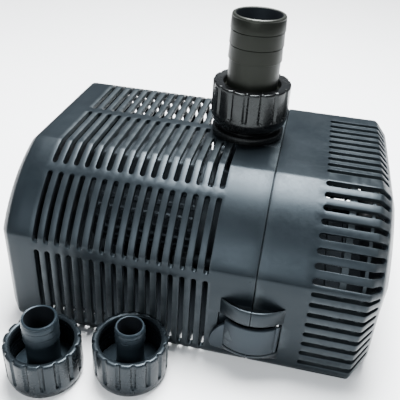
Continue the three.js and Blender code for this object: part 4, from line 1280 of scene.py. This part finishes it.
class Nodes:
    """A short way to build a node material."""

    def __init__(self, name):
        self.material = bpy.data.materials.new(name)
        self.material.use_nodes = True
        self.tree = self.material.node_tree
        self.tree.nodes.clear()
        self.shader = self.add("ShaderNodeBsdfPrincipled")
        output = self.add("ShaderNodeOutputMaterial")
        self.link(self.shader.outputs["BSDF"], output.inputs["Surface"])
        self.place = self.add("ShaderNodeTexCoord").outputs["Object"]

    def add(self, kind, **settings):
        node = self.tree.nodes.new(kind)
        for key, value in settings.items():
            setattr(node, key, value)
        return node

    def link(self, output, socket):
        self.tree.links.new(output, socket)

    def noise(self, scale, detail=3.0, rough=0.55, stretch=(1, 1, 1)):
        mapping = self.add("ShaderNodeMapping")
        mapping.inputs["Scale"].default_value = stretch
        self.link(self.place, mapping.inputs["Vector"])
        node = self.add("ShaderNodeTexNoise")
        node.inputs["Scale"].default_value = scale
        node.inputs["Detail"].default_value = detail
        node.inputs["Roughness"].default_value = rough
        self.link(mapping.outputs["Vector"], node.inputs["Vector"])
        return node.outputs["Fac"]

    def remap(self, value, low, high, to_low=0.0, to_high=1.0):
        node = self.add("ShaderNodeMapRange")
        self.link(value, node.inputs["Value"])
        ends = (("From Min", low), ("From Max", high), ("To Min", to_low), ("To Max", to_high))
        for socket, number in ends:
            node.inputs[socket].default_value = number
        return node.outputs["Result"]

    def mix(self, factor, first, second):
        node = self.add("ShaderNodeMix", data_type="RGBA", blend_type="MIX")
        self.link(factor, node.inputs["Factor"])
        for socket, value in ((node.inputs["A"], first), (node.inputs["B"], second)):
            if isinstance(value, tuple):
                socket.default_value = (*value, 1)
            else:
                self.link(value, socket)
        return node.outputs["Result"]

    def maths(self, operation, first, second):
        node = self.add("ShaderNodeMath", operation=operation)
        for socket, value in zip(node.inputs, (first, second)):
            if isinstance(value, (int, float)):
                socket.default_value = value
            else:
                self.link(value, socket)
        return node.outputs["Value"]

    def bump(self, height, distance, strength=1.0, below=None):
        node = self.add("ShaderNodeBump")
        node.inputs["Distance"].default_value = distance
        node.inputs["Strength"].default_value = strength
        self.link(height, node.inputs["Height"])
        if below is not None:
            self.link(below, node.inputs["Normal"])
        return node.outputs["Normal"]


def tint(colour, factor):
    return tuple(min(1.0, c * factor) for c in colour)


def plastic(name, colour, rough, grain=900.0, depth=2.2e-5, edge_wear_and_highlight=(0.12, 0.14, 0.15), edge_wear_and_highlight_share=0.35,
            specular=0.17, coat=0.0, gleam=(0.72, 0.88, 1.0)):
    """Moulded plastic: uneven tone, fine grain, smudges, and an edge colour: a painted highlight along the
    edges and rims of dark parts, darker edge wear on light parts.
    """
    n = Nodes(name)
    cloudy = n.remap(n.noise(22.0, 4.0), 0.3, 0.7)
    body = n.mix(cloudy, tint(colour, 0.84), tint(colour, 1.18))
    flow = n.remap(n.noise(9.0, 3.0, 0.6, (1.0, 3.0, 3.0)), 0.35, 0.68)
    body = n.mix(n.maths("MULTIPLY", flow, 0.3), body, tint(colour, 1.45))
    # Painted highlight: on dark plastics pointiness lightens convex edges and slot rims, broken into patches;
    # on light plastics it darkens them like wear.
    edge = n.remap(n.add("ShaderNodeNewGeometry").outputs["Pointiness"], 0.515, 0.60)
    patchy = n.remap(n.noise(140.0, 4.0, 0.65), 0.35, 0.7, 0.35, 1.0)
    edge = n.maths("MULTIPLY", n.maths("MULTIPLY", edge, patchy), edge_wear_and_highlight_share)
    body = n.mix(edge, body, edge_wear_and_highlight)
    n.link(body, n.shader.inputs["Base Color"])
    smudge = 0.09
    marks = n.noise(38.0, 5.0, 0.6, (1.0, 1.0, 1.6))
    smudges = n.remap(marks, 0.3, 0.72, rough - smudge * 0.6, rough + smudge)
    fine = n.remap(n.noise(grain * 0.6, 2.0), 0.3, 0.7, -0.03, 0.03)
    n.link(n.maths("ADD", smudges, fine), n.shader.inputs["Roughness"])
    scratches = n.remap(n.noise(46.0, 3.0, 0.7, (2.0, 40.0, 12.0)), 0.62, 0.74)
    low = n.bump(scratches, 8e-6, 0.35)
    n.link(n.bump(n.noise(grain, 3.0, 0.6), depth, 0.6, low), n.shader.inputs["Normal"])
    n.shader.inputs["Specular IOR Level"].default_value = specular
    n.shader.inputs["Specular Tint"].default_value = (*gleam, 1)
    n.shader.inputs["Coat Weight"].default_value = coat
    n.shader.inputs["Coat Roughness"].default_value = 0.12
    return n.material


def rubber(name, colour):
    n = Nodes(name)
    body = n.mix(n.remap(n.noise(60.0, 4.0), 0.3, 0.7), tint(colour, 0.8), tint(colour, 1.35))
    dust = n.remap(n.noise(420.0, 3.0), 0.58, 0.75, 0.0, 0.25)
    n.link(n.mix(dust, body, (0.09, 0.09, 0.085)), n.shader.inputs["Base Color"])
    n.link(n.remap(n.noise(200.0, 3.0), 0.3, 0.7, 0.66, 0.86), n.shader.inputs["Roughness"])
    n.link(n.bump(n.noise(1500.0, 3.0), 3e-5, 0.7), n.shader.inputs["Normal"])
    return n.material


def metal(name, colour, rough, stretch, scale):
    """Metal with a drawn or turned grain and faint stains."""
    n = Nodes(name)
    grain = n.noise(scale, 4.0, 0.6, stretch)
    stain = n.remap(n.noise(70.0, 4.0), 0.42, 0.7, 0.0, 0.5)
    body = n.mix(n.remap(grain, 0.3, 0.7), tint(colour, 0.85), tint(colour, 1.1))
    n.link(n.mix(stain, body, tint(colour, 0.6)), n.shader.inputs["Base Color"])
    n.link(n.remap(grain, 0.3, 0.7, rough - 0.07, rough + 0.1), n.shader.inputs["Roughness"])
    n.link(n.bump(grain, 1.5e-5, 0.5), n.shader.inputs["Normal"])
    n.shader.inputs["Metallic"].default_value = 1.0
    return n.material


def striped(name, colour, gap, rough, period, axis="X"):
    """Fine bands across an axis: laminations or windings."""
    n = Nodes(name)
    wave = n.add("ShaderNodeTexWave", wave_type="BANDS", bands_direction=axis, wave_profile="SIN")
    wave.inputs["Scale"].default_value = 2 * math.pi / period / 20
    wave.inputs["Distortion"].default_value = 0.3
    n.link(n.place, wave.inputs["Vector"])
    bands = n.remap(wave.outputs["Fac"], 0.15, 0.75)
    mottle = n.mix(n.remap(n.noise(120.0, 3.0), 0.3, 0.7), tint(colour, 0.75), tint(colour, 1.15))
    n.link(n.mix(bands, gap, mottle), n.shader.inputs["Base Color"])
    n.link(n.remap(n.noise(260.0, 3.0), 0.3, 0.7, rough - 0.1, rough + 0.1), n.shader.inputs["Roughness"])
    n.link(n.bump(wave.outputs["Fac"], 1.2e-4, 0.8), n.shader.inputs["Normal"])
    n.shader.inputs["Metallic"].default_value = 1.0
    return n.material


def floor_material():
    n = Nodes("floor")
    n.link(n.mix(n.remap(n.noise(3.0, 3.0), 0.3, 0.7), (0.86, 0.865, 0.87), (0.89, 0.892, 0.895)),
           n.shader.inputs["Base Color"])
    n.link(n.remap(n.noise(40.0, 3.0), 0.3, 0.7, 0.55, 0.7), n.shader.inputs["Roughness"])
    n.shader.inputs["Specular IOR Level"].default_value = 0.2
    return n.material


# The casing's edge colour is a strong painted highlight along its rims and slot edges.
CASING = plastic("casing_plastic", (0.0036, 0.0050, 0.0062), 0.34, edge_wear_and_highlight=(0.05, 0.058, 0.062), edge_wear_and_highlight_share=0.6)
LATCH = plastic("latch_plastic", (0.010, 0.013, 0.016), 0.34, edge_wear_and_highlight=(0.06, 0.07, 0.08))
MARK = plastic("mark_plastic", (0.006, 0.007, 0.009), 0.5)
NUT = plastic("nut_plastic", (0.002, 0.0021, 0.0023), 0.24, edge_wear_and_highlight=(0.02, 0.02, 0.02), specular=0.3,
              gleam=(0.94, 1.0, 1.0))
TAIL = plastic("hosetail_plastic", (0.0042, 0.0047, 0.0038), 0.36, edge_wear_and_highlight=(0.04, 0.04, 0.037),
               gleam=(0.95, 1.0, 0.88))
SPARE_NUT = plastic("spare_nut_plastic", (0.0032, 0.0045, 0.0056), 0.27, edge_wear_and_highlight=(0.04, 0.045, 0.05))
SPARE_TAIL = plastic("spare_tail_plastic", (0.007, 0.0105, 0.0135), 0.32, edge_wear_and_highlight=(0.06, 0.07, 0.08))
HOUSING = plastic("housing_plastic", (0.004, 0.0045, 0.006), 0.5, specular=0.3)
# Painted shade: a darker, rougher plastic laid on the inner walls of the covers and inside the hosetail bores,
# where shade falls.
PAINTED_SHADE = plastic("painted_shade_plastic", (0.003, 0.0035, 0.0045), 0.6, edge_wear_and_highlight_share=0.0, specular=0.15)
RESIN = plastic("potting_resin", (0.006, 0.008, 0.012), 0.2, grain=160.0, coat=0.5)
IMPELLER = plastic("impeller_plastic", (0.62, 0.64, 0.62), 0.42, edge_wear_and_highlight=(0.4, 0.4, 0.38), edge_wear_and_highlight_share=0.2)
MAGNET = plastic("magnet_ferrite", (0.03, 0.031, 0.035), 0.55, grain=500.0, depth=6e-5)
CERAMIC = plastic("ground_ceramic", (0.78, 0.76, 0.7), 0.2, grain=1400.0, edge_wear_and_highlight=(0.5, 0.48, 0.44),
                  edge_wear_and_highlight_share=0.3)
RUBBER = rubber("moulded_rubber", (0.012, 0.012, 0.012))
STEEL = metal("stainless_steel", (0.62, 0.63, 0.64), 0.3, (0.15, 1.0, 1.0), 500.0)
LAMINATION = striped("steel_laminations", (0.3, 0.31, 0.33), (0.02, 0.02, 0.022), 0.45, 0.001)
COPPER = striped("copper_windings", (0.72, 0.3, 0.12), (0.12, 0.04, 0.015), 0.35, 0.0008, "DIAGONAL")


# ---- Assembly ----------------------------------------------------------------------------------------


def finish_piece(piece, name, body, slot, material, *nodes, inside=None, is_inside=None):
    """Names a piece, dresses it and puts it on its body.

    Faces that is_inside picks take the inside material, a darker plastic that paints shade onto them.
    """
    piece.name = name
    piece.data.name = name
    piece.data.materials.clear()
    piece.data.materials.append(material)
    if inside:
        piece.data.materials.append(inside)
        for polygon in piece.data.polygons:
            if is_inside(polygon.center / MM, polygon.normal):
                polygon.material_index = 1
    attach(piece, body)
    if nodes:
        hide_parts(*nodes)


END_CURVE_X, END_CURVE_SPAN = 80.0, 10.0
SKIN_SLACK = 0.1


def faces_inwards(centre, normal):
    """True on the inner side of the casing's walls."""
    past_end = max(0.0, abs(centre.x) - END_CURVE_X) * (1 if centre.x > 0 else -1) / END_CURVE_SPAN
    outward = Vector((past_end, centre.y / HALF_WIDTH, (centre.z - MIDDLE_Z) / MIDDLE_Z))
    depth = WALL - SKIN_SLACK
    inset = abs(centre.y) < HALF_WIDTH - depth and depth < centre.z < HEIGHT - depth
    return inset and normal.dot(outward) < 0.05 and abs(centre.x) < FRONT_END_X - depth


def in_bore(radius, middle):
    """A test for faces of a bore on an upright axis."""
    return lambda centre, normal: math.hypot(centre.x - middle[0], centre.y - middle[1]) < radius + 0.2


# The covers' inward faces take painted shade: a darker plastic on the inner walls.
finish_piece(make_rear_cover(), "rear_cover_fine", "pump", "casing", CASING, "rear_cover",
             inside=PAINTED_SHADE, is_inside=faces_inwards)
finish_piece(make_front_cover(), "front_cover_fine", "front_cover", "casing", CASING, "front_cover",
             inside=PAINTED_SHADE, is_inside=faces_inwards)
finish_piece(make_platform(), "outlet_platform_fine", "pump", "casing", CASING, "outlet_platform")

near_clip = make_clip("latch_near_fine")
near_marks = make_marks("latch_near_marks")
far_clip = mirror_y(near_clip, "latch_far_fine")
far_marks = mirror_y(near_marks, "latch_far_marks")
finish_piece(near_clip, "latch_near_fine", "latch_near", "latch", LATCH, "latch_near")
finish_piece(far_clip, "latch_far_fine", "latch_far", "latch", LATCH, "latch_far")
finish_piece(near_marks, "latch_near_marks", "latch_near", "latch", MARK)
finish_piece(far_marks, "latch_far_marks", "latch_far", "latch", MARK)

finish_piece(make_volute_housing(), "volute_housing_fine", "pump", "housing", HOUSING, "volute_housing")
finish_piece(make_outlet_neck(), "outlet_neck_fine", "pump", "housing", NUT, "volute_housing")
finish_piece(make_volute_cover(), "volute_cover_fine", "pump", "housing", HOUSING, "volute_cover")
finish_piece(make_motor_housing(), "motor_housing_fine", "pump", "housing", HOUSING, "motor_housing")
for index, (lug_y, lug_z) in enumerate(lug_places(), 1):
    finish_piece(make_screw(index, lug_y, lug_z), f"volute_screw_{index}_fine", "pump", "steel", STEEL,
                 f"volute_screw_{index}")
for index in range(1, 5):
    low, high = box_mm(f"foot_damper_{index}")
    damper = make_damper(index, (low.x + high.x) / 2, (low.y + high.y) / 2)
    finish_piece(damper, f"foot_damper_{index}_fine", "pump", "rubber", RUBBER, f"foot_damper_{index}")
finish_piece(make_gland(), "cable_gland_fine", "pump", "rubber", RUBBER, "cable_gland")
finish_piece(make_impeller(), "impeller_fine", "rotor", "impeller", IMPELLER, "impeller")

main_nut = make_nut("union_nut_fine", NUT_RADIUS, OUTLET_X, 0, NUT_LOW.z)
finish_piece(main_nut, "union_nut_fine", "union_nut", "nut", NUT, "union_nut")
# Each hosetail's outer radius, bore radius and barb length.
MAIN_TAIL = (16.0, 13.2, 8.6)
SPARES = {20: (10.0, 7.9, 4.6), 16: (8.5, 6.6, 3.4)}
BARBS = 3
radius, bore, barb_length = MAIN_TAIL
middle = (OUTLET_X, 0)
tail = make_hosetail("hosetail_fine", middle, radius, bore, TAIL_LOW.z, TAIL_HIGH.z, BARBS, barb_length)
# The bore's faces take painted shade: a darker plastic inside the tail.
finish_piece(tail, "hosetail_fine", "hosetail", "hosetail", TAIL, "hosetail",
             inside=PAINTED_SHADE, is_inside=in_bore(bore, middle))
for size, (radius, bore, barb_length) in SPARES.items():
    low, high = box_mm(f"spare_nut_{size}")
    middle = ((low.x + high.x) / 2, (low.y + high.y) / 2)
    nut = make_nut(f"spare_nut_{size}_fine", SPARE_NUT_RADIUS, *middle, low.z)
    finish_piece(nut, nut.name, f"spare_nut_{size}", "nut", SPARE_NUT, f"spare_nut_{size}")
    low, high = box_mm(f"spare_tail_{size}")
    tail = make_hosetail(f"spare_tail_{size}_fine", middle, radius, bore, low.z, high.z, BARBS, barb_length)
    # Each spare tail's bore takes painted shade: a darker plastic inside the tail.
    finish_piece(tail, tail.name, f"spare_tail_{size}", "spare_tail", SPARE_TAIL, f"spare_tail_{size}",
                 inside=PAINTED_SHADE, is_inside=in_bore(bore, middle))

KEPT_NODES = {
    "latch_pin_near": STEEL, "latch_pin_far": STEEL, "hosetail_seal": RUBBER, "volute_seal": RUBBER,
    "stator_core": LAMINATION, "stator_coil_front": COPPER, "stator_coil_rear": COPPER, "potting_cap": RESIN,
    "rotor_can": HOUSING, "rotor_magnet": MAGNET, "rotor_shaft": CERAMIC, "rear_bearing": CERAMIC,
    "front_bearing": CERAMIC,
}
for node, material in KEPT_NODES.items():
    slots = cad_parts[node].data.materials
    slots.clear()
    slots.append(material)

# ---- Floor, lights and camera --------------------------------------------------------------------------


def make_floor():
    work = bmesh.new()
    bmesh.ops.create_grid(work, x_segments=24, y_segments=24, size=4.0)
    mesh = bpy.data.meshes.new("floor")
    work.to_mesh(mesh)
    work.free()
    floor = new_object("floor", mesh)
    floor.location.z = cad_low.z - 0.0002
    floor.data.materials.append(floor_material())
    floor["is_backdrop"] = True


def area_light(name, place, target, size, power, colour=(1, 1, 1)):
    data = bpy.data.lights.new(name, "AREA")
    data.shape = "RECTANGLE"
    data.size, data.size_y = size
    data.energy = power
    data.color = colour
    lamp = bpy.data.objects.new(name, data)
    lamp.location = place
    lamp.rotation_euler = (Vector(target) - Vector(place)).to_track_quat("-Z", "Y").to_euler()
    bpy.context.scene.collection.objects.link(lamp)


def make_world():
    world = bpy.data.worlds.new("studio")
    world.use_nodes = True
    background = world.node_tree.nodes["Background"]
    background.inputs["Color"].default_value = (0.85, 0.92, 1.0, 1)
    background.inputs["Strength"].default_value = 0.3
    bpy.context.scene.world = world


make_floor()
make_world()
area_light("overhead_softbox", place=(0.02, 0.16, 0.85), target=(0.06, 0.0, 0.05), size=(0.36, 0.4),
           power=44.0, colour=(0.95, 0.98, 1.0))
area_light("front_softbox", place=(-0.2, -1.3, 0.95), target=(0.0, 0.0, 0.05), size=(1.0, 0.6),
           power=24.0, colour=(0.93, 0.97, 1.0))
area_light("rear_fill", place=(-0.2, 0.9, 2.1), target=(0.0, 0.4, 0.0), size=(1.2, 0.8), power=90.0)

# Metres and radians.
CAMERA_PLACE = (0.049885, -0.323972, 0.260739)
CAMERA_TURN, CAMERA_TILT, CAMERA_ROLL = 0.184, 0.996, 0.063
camera = bpy.data.cameras.new("camera")
camera.sensor_width = 36.0
camera.lens = 50.85
camera.clip_start = 0.01
viewer = bpy.data.objects.new("camera", camera)
viewer.matrix_world = (
    Matrix.Translation(CAMERA_PLACE)
    @ Matrix.Rotation(CAMERA_TURN, 4, "Z")
    @ Matrix.Rotation(CAMERA_TILT, 4, "X")
    @ Matrix.Rotation(CAMERA_ROLL, 4, "Z")
)
bpy.context.scene.collection.objects.link(viewer)
bpy.context.scene.camera = viewer

low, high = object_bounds()
